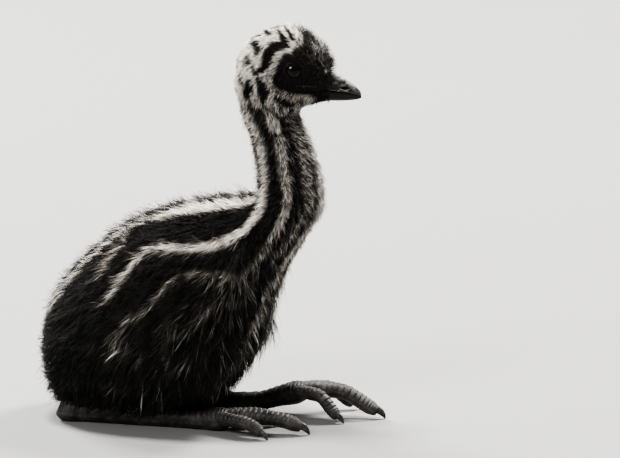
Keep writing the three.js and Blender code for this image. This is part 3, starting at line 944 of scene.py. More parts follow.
@dataclass(frozen=True)
class DownFinish:
    """Soft down in the coat's two colours."""

    dark: tuple = (0.0085, 0.0075, 0.0065, 1)
    middle: tuple = (0.23, 0.205, 0.175, 1)
    pale: tuple = (0.97, 0.93, 0.86, 1)

    def coat(self) -> Material:
        """Makes the material of the tufts.

        Returns:
            The material.
        """

        def tone(tree: Tree) -> object:
            """Reads a tuft's tone, darker near the root."""
            rooted = tree.range(tree.attribute("along"), 0.0, 0.5, 0.76, 1.0)
            return tree.product(tree.attribute("tone"), rooted)

        glow = {"Specular_IOR_Level": 0.25, "Sheen_Weight": 0.08, "Sheen_Roughness": 0.4}
        return finished("down_fibres", "down_tone", self._values(900, 0.16), {"Tone": tone}, 0.00005, **glow)

    def skin(self) -> Material:
        """Makes the material of the downy skin under the tufts.

        Returns:
            The material.
        """
        values = self._values(1400, 0.3)
        links = {"Tone": lambda tree: tree.product(tree.attribute("pale"), 0.8)}
        return finished("downy_skin", "down_tone", values, links, 0.0004, Specular_IOR_Level=0.2)

    def _values(self, scale: float, variation: float) -> dict:
        """Gives the constants of the shared colour group."""
        colours = {"Dark": self.dark, "Middle": self.middle, "Pale": self.pale}
        return colours | {"Scale": scale, "Variation": variation}


@dataclass(frozen=True)
class HornFinish:
    """Horn or bare scaly skin, paler on its raised parts: wear, and on the bill's ridge painted highlight."""

    name: str
    base: tuple
    worn: tuple
    scale: float = 200
    cells: float = 900
    gloss: float = 0.35
    depth: float = 0.0001
    coat: float = 0.0
    shine: float = 0.3

    def material(self) -> Material:
        """Makes the material, which darkens where the piece's attribute says: its dark colour, and on the
        bill painted shade too.

        Returns:
            The material.
        """
        values = {"Base": self.base, "Worn": self.worn}
        values |= {"Scale": self.scale, "Cells": self.cells, "Gloss": self.gloss}
        links = {"Crease": lambda tree: tree.attribute("crease")}
        wet = {"Coat_Weight": self.coat, "Specular_IOR_Level": self.shine}
        return finished(self.name, "horn_relief", values, links, self.depth, **wet)


@dataclass(frozen=True)
class EyeFinish:
    """A wet dark eye with a brown iris round a black pupil."""

    pupil: tuple = (0.003, 0.003, 0.003, 1)
    iris: tuple = (0.009, 0.0065, 0.005, 1)
    iris_fibres: tuple = (0.02, 0.0135, 0.009, 1)
    rim: tuple = (0.008, 0.007, 0.006, 1)

    def material(self) -> Material:
        """Makes the material from the disc attribute, 0 in the pupil's middle and 1 at the iris's edge.

        Returns:
            The material.
        """
        material, tree, shader = new_material("eye_wet")
        disc = tree.attribute("disc")
        fibres = tree.noise(tree.place(), 2600, 3, 0.7)
        iris = tree.mix(tree.range(fibres, 0.3, 0.7), self.iris, self.iris_fibres)
        inner = tree.mix(tree.range(disc, 0.52, 0.6), self.pupil, iris)
        outer = tree.mix(tree.range(disc, 0.86, 1.0), inner, self.rim)
        tree.link(outer, shader.inputs["Base Color"])
        tree.link(tree.range(fibres, 0.3, 0.7, 0.06, 0.12), shader.inputs["Roughness"])
        for label, value in (("Coat Weight", 0.35), ("Coat Roughness", 0.02), ("Specular IOR Level", 0.08)):
            shader.inputs[label].default_value = value
        return material


@dataclass(frozen=True)
class FloorFinish:
    """The studio's pale matt floor."""

    colour: tuple = (0.21, 0.2085, 0.205, 1)

    def material(self) -> Material:
        """Makes the material.

        Returns:
            The material.
        """
        material, tree, shader = new_material("studio_floor")
        soft = tree.noise(tree.place(), 6, 3, 0.5)
        paler = tuple(min(c * 1.03, 1) for c in self.colour[:3]) + (1,)
        tree.link(tree.mix(soft, self.colour, paler), shader.inputs["Base Color"])
        tree.link(tree.range(soft, 0.3, 0.7, 0.85, 0.95), shader.inputs["Roughness"])
        return material


# The skin and its coat


class Region(Enum):
    """The pieces that the coat is made in, with their order in the skin's region attribute."""

    RUMP = 0
    BACK = 1
    FLANK_RIGHT = 2
    FLANK_LEFT = 3
    BELLY = 4
    NECK_LOW = 5
    NECK_HIGH = 6
    NAPE = 7
    FACE = 8
    WISPS_BODY = 9
    WISPS_NECK = 10
    WISPS_HEAD = 11
    BRISTLES = 12


@dataclass(frozen=True)
class CoatArea:
    """One piece of the coat: where it grows and what its tufts are like, with widths in mm."""

    region: Region
    count: int
    strands: int = 2
    segments: int = 3
    width: float = 0.42
    frizz: float = 1.0
    clump: float = 0.5
    spread: float = 0.9
    lock: float = 3.6
    gather: float = 0.75
    local: float = 0.55


@dataclass
class Plumage:
    """The skin, with every field that the coat needs, and the coat's pieces grown from it."""

    # the skin's rings: first section, last section and rings for each section between
    rows: tuple = ((0, 9, 11), (9, 15, 16), (15, 24, 24))
    columns: int = 144
    # by section: mm from the coat's outside to the skin, the tufts' length in mm and rise in degrees
    depths: tuple = (
        (0, 5.5), (2, 5.5), (4, 5), (8, 5), (9.5, 4.8), (11, 4.2), (13, 3.8), (15, 3.2), (16.5, 2.6),
        (18, 2.2), (20, 2.0), (21.5, 1.7), (23, 1.1), (24, 0.7),
    )
    lengths: tuple = (
        (0, 13), (2, 13), (4, 12.5), (6, 12), (8, 11), (9.5, 9), (11, 7.6), (13, 7), (15, 5.8), (16.5, 4.6),
        (18, 4), (20, 3.6), (21.5, 3.2), (23, 2.4), (24, 1.7),
    )
    rises: tuple = ((0, 36), (5, 34), (8, 36), (9.5, 44), (11, 50), (14, 50), (16, 40), (20, 34), (24, 28))
    # how the skin's depth changes: a share more on the flank, mm less at the nape and more at the bill
    flank_deeper: float = 0.2
    nape_higher: float = 1.9
    bill_deeper: float = 1.1
    areas: tuple = (
        CoatArea(Region.RUMP, 3400),
        CoatArea(Region.BACK, 5200),
        CoatArea(Region.FLANK_RIGHT, 5500),
        CoatArea(Region.FLANK_LEFT, 5500),
        CoatArea(Region.BELLY, 2500),
        CoatArea(Region.NECK_LOW, 7300, 2, 2, 0.36, 1.1, 0.5, 0.6, 2.8, 0.85, 0.4),
        CoatArea(Region.NECK_HIGH, 7300, 2, 2, 0.34, 1.0, 0.5, 0.6, 2.4, 0.9, 0.3),
        CoatArea(Region.NAPE, 7800, 2, 2, 0.3, 0.5, 0.5, 0.4, 2.2, 0.9, 0.25),
        CoatArea(Region.FACE, 7800, 2, 2, 0.26, 0.5, 0.5, 0.3, 1.5, 0.7, 0.25),
        CoatArea(Region.WISPS_BODY, 3800, 1, 3, 0.3, 1.4, 0.0, 0.4, 3.6, 0.7),
        CoatArea(Region.WISPS_NECK, 4800, 1, 2, 0.3, 1.2, 0.0, 0.4, 2.6, 0.8),
        CoatArea(Region.WISPS_HEAD, 4600, 1, 2, 0.27, 0.6, 0.0, 0.3, 1.8, 0.7, 0.1),
        CoatArea(Region.BRISTLES, 2200, 1, 3, 0.2, 0.6, 0.0, 0.2, 1.2, 0.3),
    )
    # x and z of the corner of the mouth, and how the line of the mouth sinks from there
    mouth_line: tuple = (88.2, 211.9, 0.07)
    # x, z, half-length, half-height and depth of the ear's opening
    ear: tuple = (75.4, 219.4, 2.0, 2.6, 1.3)
    # metres that the rays over wings and thighs start out, and that are looked at round them
    swelling_reach: float = 0.025
    swelling_margin: float = 0.03
    smoothing: int = 14
    clearance: float = 1.6
    open_from: float = 0.35
    markings: Markings = Markings()
    finish: DownFinish = DownFinish()

    def __post_init__(self) -> None:
        """Works out the skin's grid and its fields."""
        stops = [np.linspace(low, high, (high - low) * per, endpoint=False) for low, high, per in self.rows]
        self.s_line = np.append(np.concatenate(stops), FORM.last)
        self.angle_line = np.linspace(-np.pi, np.pi, self.columns + 1)
        self.s, self.angle = np.meshgrid(self.s_line, self.angle_line, indexing="ij")
        self.flat = FORM.unturned(self.s, self.angle)
        coat = TURN.apply(self.flat)
        outward = self._directions(coat)[2]
        swelling = self._swelling(to_metres(coat), outward) / MM
        self.face = band(self.degrees, 62, 80, 125, 150) * smooth_step(self.s, 17.5, 19.5)
        depth = read_steps(self.depths, self.s)
        depth = depth + (np.minimum(depth, 1.0) - depth) * self.face
        flank = smooth_step(self.degrees, 70, 110) * fade(self.s, 8, 9.5)
        nape = band(self.s, 9.8, 11, 14.5, 16) * fade(self.degrees, 45, 85)
        depth = depth * (1 + self.flank_deeper * flank) - self.nape_higher * nape
        depth = depth + self.bill_deeper * smooth_step(self.s, 23.3, 24)
        skin = coat + outward * (swelling - depth + self._mouth())[..., None]
        # kept just above the floor
        skin[..., 2] = np.maximum(skin[..., 2], self.clearance + 0.02 * skin[..., 2])
        self.skin = to_metres(skin)
        self.forward, self.across, self.outward = self._directions(self.skin)

    @property
    def degrees(self) -> Array:
        """Angles from the back line, in degrees, alike on both sides."""
        return np.abs(np.degrees(self.angle))

    @staticmethod
    def _directions(points: Array) -> tuple:
        """Finds, for a grid of points, the ways along the bird, round it and outwards.

        Args:
            points: the grid.

        Returns:
            Three grids of unit vectors.
        """
        forward = unit(np.gradient(points, axis=0))
        across = np.gradient(points, axis=1)
        seam = points[:, 1] - points[:, -2]
        across[:, 0] = seam
        across[:, -1] = seam
        across = unit(across)
        outward = unit(np.cross(across, forward))
        middle = (points.min(1, keepdims=True) + points.max(1, keepdims=True)) / 2
        facing = np.sign(np.einsum("rci,rci->rc", outward, points - middle).mean())
        return forward, across, outward * facing

    def _swelling(self, points: Array, outward: Array) -> Array:
        """Measures how far the thighs and wings stand out of the body, softened at their edges.

        Args:
            points: the body's outside.
            outward: the way out at each point.

        Returns:
            The height at each point in metres.
        """
        reach, margin = self.swelling_reach, self.swelling_margin
        height = np.zeros(points.shape[:2])
        for name in ("thigh_left", "thigh_right", "wing_left", "wing_right"):
            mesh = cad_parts[name].data
            corners = [v.co.copy() for v in mesh.vertices]
            shape = BVHTree.FromPolygons(corners, [p.vertices[:] for p in mesh.polygons])
            low, high = (np.array(corner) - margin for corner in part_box(name))
            near = np.all((points > low) & (points < high + 2 * margin), axis=-1)
            for row, column in zip(*np.nonzero(near)):
                way = Vector(outward[row, column])
                hit = shape.ray_cast(Vector(points[row, column]) + way * reach, -way, reach)
                if hit[0] is not None:
                    height[row, column] = max(height[row, column], reach - hit[3])
        for _ in range(self.smoothing):
            around = np.roll(height[:, :-1], 1, 1) + np.roll(height[:, :-1], -1, 1)
            around = np.concatenate([around, around[:, :1]], 1)
            along = np.pad(height, ((1, 1), (0, 0)), mode="edge")
            height = 0.4 * height + 0.15 * around + 0.15 * (along[:-2] + along[2:])
        return height

    def _mouth(self) -> Array:
        """Models the lips, the line of the mouth and the openings of the ears.

        Returns:
            The height at each point in mm, below zero where the skin is sunk.
        """
        x, z = self.flat[..., 0], self.flat[..., 2]
        start_x, start_z, slope = self.mouth_line
        line = start_z - slope * (x - start_x)
        there = smooth_step(x, 87, 90) * (self.s > 17) * (np.abs(np.sin(self.angle)) > 0.3)
        gap = np.abs(z - line)
        lips = 0.45 * bump(gap - 1.1, 0.6) - 0.9 * bump(gap, 0.45)
        at_x, at_z, long, high, sunk = self.ear
        ear = -sunk * np.exp(-(((x - at_x) / long) ** 2 + ((z - at_z) / high) ** 2) ** 1.5)
        return lips * there + ear * (self.s > 16)

    def _lie(self) -> Array:
        """Finds the way that the tufts lie: back along the bird, down its flanks and round its eyes.

        Returns:
            A unit vector for each point of the grid.
        """
        lean = read_steps(((0, 0), (30, 6), (50, 20), (75, 34), (95, 52), (120, 66), (180, 40)), self.degrees)
        lean = lean * fade(self.s, 8.4, 10.5) * smooth_step(self.s, 0.5, 3)
        splay = ((0, 0), (14, -24), (50, -40), (76, -24), (100, 14), (140, 32), (180, 0))
        splay = read_steps(splay, self.degrees) * smooth_step(self.s, 9, 11)
        lean = np.radians(lean + splay * (1 - 0.7 * smooth_step(self.s, 15, 17)))[..., None]
        down = self.across * np.sign(self.angle)[..., None]
        lie = -self.forward * np.cos(lean) + down * np.sin(lean)
        for side in Side:
            away = self.skin - to_metres(TURN.apply(EYE.centre(side), whole=True))
            gap = np.linalg.norm(away, axis=-1, keepdims=True) / MM
            pull = 1.6 * fade(gap, 7.5, 12.5) * (self.s > 16)[..., None]
            lie = lie + unit(away) * pull
        flatter = lie - self.outward * np.einsum("rci,rci->rc", lie, self.outward)[..., None]
        return unit(flatter)

    def _eye_gap(self) -> Array:
        """Measures how far each place is from the nearer eye's middle, in mm."""
        gaps = [np.linalg.norm(self.flat - EYE.centre(side), axis=-1) for side in Side]
        return np.minimum(*gaps)

    def _region(self) -> Array:
        """Sorts the skin's faces into the coat's pieces.

        Returns:
            The number of its region for each face.
        """
        s = (self.s_line[:-1] + self.s_line[1:])[:, None] / 2
        angle = np.degrees(self.angle_line[:-1] + self.angle_line[1:])[None, :] / 2
        turn = np.abs(angle)
        region = np.full((s.size, angle.size), Region.BELLY.value)
        for here, part in (
            ((turn < 112) & (angle > 0), Region.FLANK_RIGHT),
            ((turn < 112) & (angle < 0), Region.FLANK_LEFT),
            (turn < 48, Region.BACK),
            (s < 3, Region.RUMP),
            (s > 9, Region.NECK_LOW),
            (s > 12.4, Region.NECK_HIGH),
            (s > 15.6, Region.NAPE),
            (s > 19.6, Region.FACE),
        ):
            region = np.where(here, part.value, region)
        return region.ravel()

    def _fields(self) -> dict:
        """Works out every field of the coat.

        Returns:
            The fields by name, one value for each point of the grid.
        """
        flat = self.flat.reshape(-1, 3)
        s, degrees = self.s.ravel(), self.degrees.ravel()
        pale = self.markings.pale(s, flat)
        streak = self.markings.streak(s, degrees, flat)
        low = smooth_step(degrees, 66, 100) * smooth_step(s, 2, 4) * fade(s, 8.4, 9.6)
        length = read_steps(self.lengths, s) * (1 + 0.55 * low)
        rise = read_steps(self.rises, s) * (1 - 0.25 * low)
        nape = band(s, 9.5, 11, 15, 16) * fade(degrees, 20, 50)
        crest = band(s, 2, 4, 8, 9.5) * fade(degrees, 20, 48)
        rise = rise + 8 * nape + 9 * crest
        back = band(s, 15, 16.4, 19, 20.4) * fade(degrees, 40, 80)
        bristle = smooth_step(s, 20.8, 22.2) * fade(degrees, 30, 62) * fade(s, 23.2, 24)
        chin = smooth_step(s, 18, 20) * smooth_step(degrees, 135, 158)
        gap = self._eye_gap().ravel()
        # parts of the head, with mm longer, degrees steeper, and shares shorter and flatter
        for part, longer, steeper, shorter, flatter in (
            (back, 0.7, 16, 0, 0),
            (self.face.ravel(), 0, 0, 0.45, 0.5),
            (bristle, 2.6, 30, 0, 0),
            (chin, 2.4, 16, 0, 0),
            (fade(gap, 7.4, 11), 0, 0, 0.6, 0.5),
        ):
            length = (length + longer * part) * (1 - shorter * part)
            rise = (rise + steeper * part) * (1 - flatter * part)
        mouth = np.abs(flat[:, 2] - 211.6) + 8 * fade(flat[:, 0], 87, 90)
        bare = np.where(s > 17, fade(mouth, 0.6, 1.2), 0) * (np.abs(flat[:, 1]) > 6)
        density = smooth_step(gap, 6.9, 7.3) * (1 - bare)
        density = density * (1 - 0.55 * smooth_step(degrees, 150, 165) * fade(s, 6, 8))
        unwrap = np.stack([self.angle / (2 * np.pi) + 0.5, self.s / FORM.last, np.zeros_like(self.s)], -1)
        return {
            "pale": pale,
            "streak": streak,
            "fleck": 0.28 + 0.42 * smooth_step(s, 9.5, 11.5) * (1 - 0.55 * smooth_step(s, 15.6, 17)),
            "reach": length * MM,
            "rise": np.radians(np.clip(rise, 8, 75)),
            "growth": density,
            "lie": self._lie().reshape(-1, 3),
            "outward": self.outward.reshape(-1, 3),
            "unwrap": unwrap.reshape(-1, 3),
        }

    def build(self) -> None:
        """Makes the skin and every piece of the coat."""
        fields = self._fields()
        self._build_skin(fields["pale"])
        faces = grid_faces(*self.s.shape, False)
        base = make_object("coat_roots", self.skin.reshape(-1, 3), faces)
        for name, values in fields.items():
            store(base.data, name, values)
        region, quads = self._region(), np.array(faces)
        store(base.data, "region", region, "FACE")
        areas = np.zeros(len(faces))
        base.data.polygons.foreach_get("area", areas)
        material, tree = self.finish.coat(), coat_tree()
        for area in self.areas:
            extra = self._extra_fields(area.region, fields)
            own = extra.get("growth", fields["growth"])
            mask = np.full(len(quads), True) if extra else region == area.region.value
            grown = (areas * own[quads].mean(1))[mask].sum()
            source = base.copy()
            source.data = base.data.copy()
            for name, values in extra.items():
                kind = "vector" if values.ndim > 1 else "value"
                source.data.attributes[name].data.foreach_set(kind, values.astype(np.float32).ravel())
            if extra:
                whole = np.full(len(quads), area.region.value, np.int32)
                source.data.attributes["region"].data.foreach_set("value", whole)
            unwrap = fields["unwrap"][quads[mask].ravel()]
            self._grow(source, tree, area, area.count / grown, material, unwrap)
        bpy.data.objects.remove(base)

    def _extra_fields(self, region: Region, fields: dict) -> dict:
        """Works out the fields of the single hairs that stand out of the coat.

        Args:
            region: the piece.
            fields: the coat's own fields.

        Returns:
            The fields that differ, or none for a piece of the coat itself.
        """
        s, degrees = self.s.ravel(), self.degrees.ravel()
        open_skin = (fields["growth"] > self.open_from).astype(float)
        top = fade(degrees, 35, 75)
        front = smooth_step(degrees, 105, 140)
        others = {}
        if region is Region.WISPS_BODY:
            growth = band(s, 0.2, 1.5, 9, 10.5) * fade(degrees, 130, 155)
            crest = fade(degrees, 22, 50) * fade(s, 8, 9.5)
            hump = crest * bump(s - 4.5, 0.7)
            growth = growth * (0.6 + 1.1 * crest + 0.8 * hump)
            length = 15 + 9 * smooth_step(degrees, 60, 100) + 2.5 * crest + 2 * hump
            rise = 44 - 22 * smooth_step(degrees, 50, 95) + 14 * crest + 6 * hump
        elif region is Region.WISPS_NECK:
            growth = band(s, 8.6, 10, 15.5, 17) * (0.3 + 0.7 * np.maximum(top, front))
            length = 9.2 + 1.6 * front + 2.2 * top * fade(s, 12, 14)
            rise = 54 + 16 * top - 2 * front
            # painted highlight: the wisps along the top of the neck are made pale
            lit = fade(degrees, 18, 34) * smooth_step(s, 11, 13)
            others["pale"] = np.maximum(fields["pale"], 0.85 * lit)
        elif region is Region.WISPS_HEAD:
            forehead = smooth_step(s, 20.4, 22) * top
            chin = smooth_step(s, 17.5, 19.5) * smooth_step(degrees, 140, 160)
            nape = top * fade(s, 18.5, 20)
            growth = 0.12 + np.maximum(np.maximum(1.7 * forehead, 0.8 * chin), nape)
            growth = growth * smooth_step(s, 15.6, 16.6) * fade(s, 23.7, 23.9)
            length = 5.2 + 6.2 * forehead + 1.2 * nape
            rise = 46 + 24 * forehead + 12 * chin + 22 * nape
        elif region is Region.BRISTLES:
            growth = smooth_step(s, 22.7, 23.4)
            length = 4.2 + 0.6 * fade(degrees, 20, 60)
            rise = 11 + 20 * fade(degrees, 20, 60)
            lie = unit(self.forward + 0.25 * self.across * np.sign(self.angle)[..., None])
            others = {"lie": lie.reshape(-1, 3), "pale": fields["pale"] * 0.3}
            open_skin = 1
        else:
            return {}
        return {"growth": growth * open_skin, "reach": length * MM, "rise": np.radians(rise)} | others

    def _build_skin(self, pale: Array) -> None:
        """Makes the closed skin that stands for the nodes of flesh.

        Args:
            pale: how pale each point of the grid is.
        """
        points, faces = closed_loft(self.skin[:, :-1])
        made = make_object("skin", points, faces)
        tone = pale.reshape(self.s.shape)[:, :-1]
        store(made.data, "pale", np.concatenate([tone.ravel(), [tone[0].mean(), tone[-1].mean()]]))
        point_outwards(made)
        flesh = ["torso", "tail", "neck_lower", "neck_upper", "head"]
        flesh += [f"{part}_{side.label}" for part in ("wing", "thigh") for side in Side]
        dress(made, self.finish.skin(), "down", *flesh)

    def _grow(
        self,
        source: Object,
        tree: NodeTree,
        area: CoatArea,
        density: float,
        material: Material,
        unwrap: Array,
    ) -> None:
        """Grows one piece of the coat with the tree and turns it into a plain mesh.

        Args:
            source: a copy of the skin's roots with the piece's fields.
            tree: the tree that grows tufts.
            area: the piece.
            density: tufts for each square metre.
            material: the coat's material.
            unwrap: the piece's places on the skin's unwrap.
        """
        bpy.context.scene.collection.objects.link(source)
        modifier = source.modifiers.new("coat", "NODES")
        modifier.node_group = tree
        low, high = unwrap.min(0), unwrap.max(0)
        values = {
            "Region": area.region.value,
            "Density": density,
            "Strands": area.strands,
            "Segments": area.segments,
            "Width": area.width * MM / 2,
            "Frizz": area.frizz,
            "Clump": area.clump,
            "Spread": area.spread * MM,
            "Lock Size": area.lock * MM,
            "Gather": area.gather,
            "Local Tone": area.local,
            "Unwrap Low": tuple(low),
            "Unwrap Scale": tuple(1 / np.maximum(high - low, 1e-6)),
            "Material": material,
            "Seed": 11 + area.region.value,
        }
        for item in tree.interface.items_tree:
            if item.in_out == "INPUT" and item.name in values:
                modifier[item.identifier] = values[item.name]
        evaluated = source.evaluated_get(bpy.context.evaluated_depsgraph_get())
        mesh = bpy.data.meshes.new_from_object(evaluated)
        bpy.data.objects.remove(source)
        for name in [item.name for item in mesh.attributes]:
            if name not in ("position", "tone", "along", "OFBake") and not name.startswith("."):
                mesh.attributes.remove(mesh.attributes[name])
        made = bpy.data.objects.new(f"coat_{area.region.name.lower()}", mesh)
        bpy.context.scene.collection.objects.link(made)
        dress(made, material, "down")


def coat_tree() -> NodeTree:
    """Makes the tree that grows tufts from the skin's fields and bends them along its lie.

    Returns:
        The node tree.
    """
    inputs = {
        "Geometry": (GEOMETRY, None),
        "Region": (COUNT, 0),
        "Density": (NUMBER, 1000.0),
        "Strands": (COUNT, 2),
        "Segments": (COUNT, 3),
        "Width": (NUMBER, 0.0002),
        "Frizz": (NUMBER, 1.0),
        "Clump": (NUMBER, 0.5),
        "Spread": (NUMBER, 0.0006),
        "Lock Size": (NUMBER, 0.003),
        "Gather": (NUMBER, 0.5),
        "Local Tone": (NUMBER, 0.5),
        "Unwrap Low": (ARROW, (0.0, 0.0, 0.0)),
        "Unwrap Scale": (ARROW, (1.0, 1.0, 1.0)),
        "Material": ("NodeSocketMaterial", None),
        "Seed": (COUNT, 1),
    }
    tree, given, made = new_group("coat_tufts", "GeometryNodeTree", inputs, {"Geometry": GEOMETRY})

    def named(name: str, kind: str = "FLOAT") -> NodeSocket:
        """Reads a named attribute."""
        return tree.add("GeometryNodeInputNamedAttribute", {"Name": name}, data_type=kind).outputs[0]

    def arrow(name: str) -> NodeSocket:
        """Reads a named vector."""
        return named(name, "FLOAT_VECTOR")

    def position() -> NodeSocket:
        """Reads where each point is."""
        return tree.add("GeometryNodeInputPosition").outputs[0]

    def split(vector: object) -> object:
        """Splits a vector into x, y and z."""
        return tree.add("ShaderNodeSeparateXYZ", {0: vector}).outputs

    def built(**parts: object) -> NodeSocket:
        """Builds a vector from x, y and z."""
        return tree.add("ShaderNodeCombineXYZ", parts).outputs[0]

    def chance(low: float, high: float, step: int) -> NodeSocket:
        """Draws a number for each element."""
        seed = tree.math("ADD", given["Seed"], step * 31)
        return tree.add("FunctionNodeRandomValue", {2: low, 3: high, 8: seed}, data_type="FLOAT").outputs[1]

    def keep(mesh: object, name: str, value: object, kind: str = "FLOAT", domain: str = "POINT") -> object:
        """Stores a named attribute."""
        inputs = {"Geometry": mesh, "Name": name, "Value": value}
        return tree.add("GeometryNodeStoreNamedAttribute", inputs, data_type=kind, domain=domain).outputs[0]

    # points on the piece's own part of the skin
    regions = {2: named("region", "INT"), 3: given["Region"]}
    here = tree.add("FunctionNodeCompare", regions, data_type="INT", operation="EQUAL").outputs[0]
    scattered = {
        "Mesh": given["Geometry"],
        "Selection": here,
        "Density": tree.product(named("growth"), given["Density"]),
        "Seed": given["Seed"],
    }
    points = tree.add("GeometryNodeDistributePointsOnFaces", scattered).outputs["Points"]

    # the lock that each tuft belongs to
    place, outward = position(), arrow("outward")
    fineness = tree.math("DIVIDE", 1.0, given["Lock Size"])
    lock = tree.add("ShaderNodeTexVoronoi", {"Vector": place, "Scale": fineness}).outputs
    inwards = tree.vector("SUBTRACT", lock["Position"], place)
    sunk = tree.vector("DOT_PRODUCT", inwards, outward)
    inwards = tree.vector("SUBTRACT", inwards, tree.scaled(outward, sunk))
    points = keep(points, "inwards", inwards, "FLOAT_VECTOR")
    of_lock = split(lock["Color"])

    # each tuft's tone
    drawn = chance(0, 1, 1)
    paler = tree.product(named("streak"), tree.math("POWER", drawn, 3.2))
    pale = named("pale")
    between = tree.product(pale, tree.math("SUBTRACT", 1.0, pale), 3.4)
    shift = tree.product(between, chance(-0.5, 0.5, 6))
    sorted_tone = tree.range(tree.math("ADD", pale, shift), 0.22, 0.78)
    capped = tree.product(sorted_tone, tree.math("MULTIPLY_ADD", pale, 0.5, 0.5))
    shade_and_fleck_dim = tree.product(named("fleck"), tree.math("POWER", chance(0, 1, 2), 2.2))
    shade_and_fleck_dimmed = tree.product(capped, tree.math("SUBTRACT", 1.0, shade_and_fleck_dim))
    points = keep(points, "tone", tree.math("ADD", paler, shade_and_fleck_dimmed, clamp=True))

    # its length, its rise from the skin and its lean
    longer = tree.product(tree.range(of_lock[2], 0.0, 1.0, 0.86, 1.14), chance(0.72, 1.14, 3))
    points = keep(points, "reach", tree.product(named("reach"), longer))
    tufted = tree.range(tree.noise(place, TUFT_SCALE, 1), 0.34, 0.66, 0.76, 1.24)
    ruffled = tree.product(tufted, chance(0.78, 1.22, 4), tree.range(of_lock[0], 0.0, 1.0, 0.62, 1.4))
    points = keep(points, "rise", tree.product(named("rise"), ruffled))
    swirl = tree.product(tree.math("SUBTRACT", tree.noise(place, SWIRL_SCALE, 2), 0.5), 2.0)
    whorl = tree.math("SUBTRACT", tree.noise(place, WAVE_SCALE, 1), 0.5)
    whorl = tree.math("MULTIPLY_ADD", whorl, 1.5, swirl)
    sideways = tree.math("ADD", whorl, chance(-0.24, 0.24, 5))
    turns = {"Vector": arrow("lie"), "Axis": outward, "Angle": sideways}
    spun = tree.add("ShaderNodeVectorRotate", turns, rotation_type="AXIS_ANGLE").outputs[0]
    points = keep(points, "lie", spun, "FLOAT_VECTOR")

    # the strands of a tuft, set a little apart
    amount = {"Geometry": points, "Amount": given["Strands"]}
    copies = tree.add("GeometryNodeDuplicateElements", amount, domain="POINT").outputs[0]
    cube = {0: (-1, -1, -1), 1: (1, 1, 1)}
    apart = tree.add("FunctionNodeRandomValue", cube, data_type="FLOAT_VECTOR").outputs[0]
    level = tree.vector("SUBTRACT", apart, tree.scaled(outward, tree.vector("DOT_PRODUCT", apart, outward)))
    points = keep(copies, "shift", tree.scaled(level, given["Spread"]), "FLOAT_VECTOR")
    moved = tree.add("GeometryNodeSetPosition", {"Geometry": points, "Offset": arrow("shift")}).outputs[0]

    # one strand: a thin closed spike
    cone = {"Vertices": 3, "Side Segments": given["Segments"], "Radius Bottom": 1.0, "Depth": 1.0}
    spike = tree.add("GeometryNodeMeshCone", cone, fill_type="NGON").outputs
    strand = keep(spike["Mesh"], "cone_map", spike["UV Map"], "FLOAT2", "CORNER")
    strand = keep(strand, "along", split(position())[2])

    # set on the points, along the lie and out of the skin
    rise, reach = named("rise"), named("reach")
    ahead = tree.scaled(arrow("lie"), tree.math("COSINE", rise))
    way = tree.vector("ADD", ahead, tree.scaled(outward, tree.math("SINE", rise)))
    turned = tree.add("FunctionNodeAlignRotationToVector", {"Vector": way}, axis="Z").outputs[0]
    spin = tree.add("FunctionNodeEulerToRotation", {0: built(Z=chance(0, FULL_TURN, 7))}).outputs[0]
    turned = tree.add("FunctionNodeRotateRotation", {0: turned, 1: spin}, rotation_space="LOCAL").outputs[0]
    width = tree.product(given["Width"], chance(0.7, 1.25, 8))
    size = built(X=width, Y=width, Z=reach)
    instances = {"Points": moved, "Instance": strand, "Rotation": turned, "Scale": size}
    placed = tree.add("GeometryNodeInstanceOnPoints", instances).outputs[0]
    grown = tree.add("GeometryNodeRealizeInstances", {"Geometry": placed}).outputs[0]

    # bent back to the skin, drawn together at the tips and frizzed
    along = named("along")
    square = tree.math("POWER", along, 2.0)
    lift = tree.product(reach, tree.math("SINE", rise), 0.5)
    droop = tree.scaled(outward, tree.product(lift, square, -1.0))
    together = tree.scaled(arrow("shift"), tree.product(along, given["Clump"], -1.0))
    gathered = tree.scaled(arrow("inwards"), tree.product(square, given["Gather"]))
    together = tree.vector("ADD", together, gathered)
    waves = {"Vector": position(), "Scale": WAVE_SCALE, "Detail": 2.0}
    wave = tree.vector("SUBTRACT", tree.add("ShaderNodeTexNoise", waves).outputs["Color"], (0.5, 0.5, 0.5))
    frizz = tree.scaled(wave, tree.product(reach, given["Frizz"], square, 0.42))
    bend = tree.vector("ADD", tree.vector("ADD", droop, together), frizz)
    bent = tree.add("GeometryNodeSetPosition", {"Geometry": grown, "Offset": bend}).outputs[0]

    # kept above the floor
    x, y, z = split(position())
    clear = built(X=x, Y=y, Z=tree.math("MAXIMUM", z, FLOOR_GAP * MM))
    bent = tree.add("GeometryNodeSetPosition", {"Geometry": bent, "Position": clear}).outputs[0]

    # its tone drawn towards the marking that it lies over
    sampled = {"Mesh": given["Geometry"], "Value": pale}
    under = tree.add("GeometryNodeSampleNearestSurface", sampled, data_type="FLOAT").outputs["Value"]
    change = tree.product(tree.math("SUBTRACT", under, pale), given["Local Tone"])
    bent = keep(bent, "tone", tree.math("ADD", named("tone"), change, clamp=True))

    # a small patch of the bake map at the tuft's root
    root = tree.vector("SUBTRACT", arrow("unwrap"), given["Unwrap Low"])
    root = tree.scaled(tree.vector("MULTIPLY", root, given["Unwrap Scale"]), 1 - 2 * WRAP_SHARE)
    inner = tree.scaled(tree.vector("SUBTRACT", arrow("cone_map"), (0.5, 0.5, 0.0)), WRAP_SHARE)
    spread = tree.vector("ADD", root, (WRAP_SHARE, WRAP_SHARE, 0.0))
    mapped = keep(bent, "OFBake", tree.vector("ADD", spread, inner), "FLOAT2", "CORNER")
    soft = tree.add("GeometryNodeSetShadeSmooth", {0: mapped, "Shade Smooth": True}).outputs[0]
    finish = {"Geometry": soft, "Material": given["Material"]}
    tree.link(tree.add("GeometryNodeSetMaterial", finish).outputs[0], made["Geometry"])
    return tree.tree


# Eyes, bill and feet


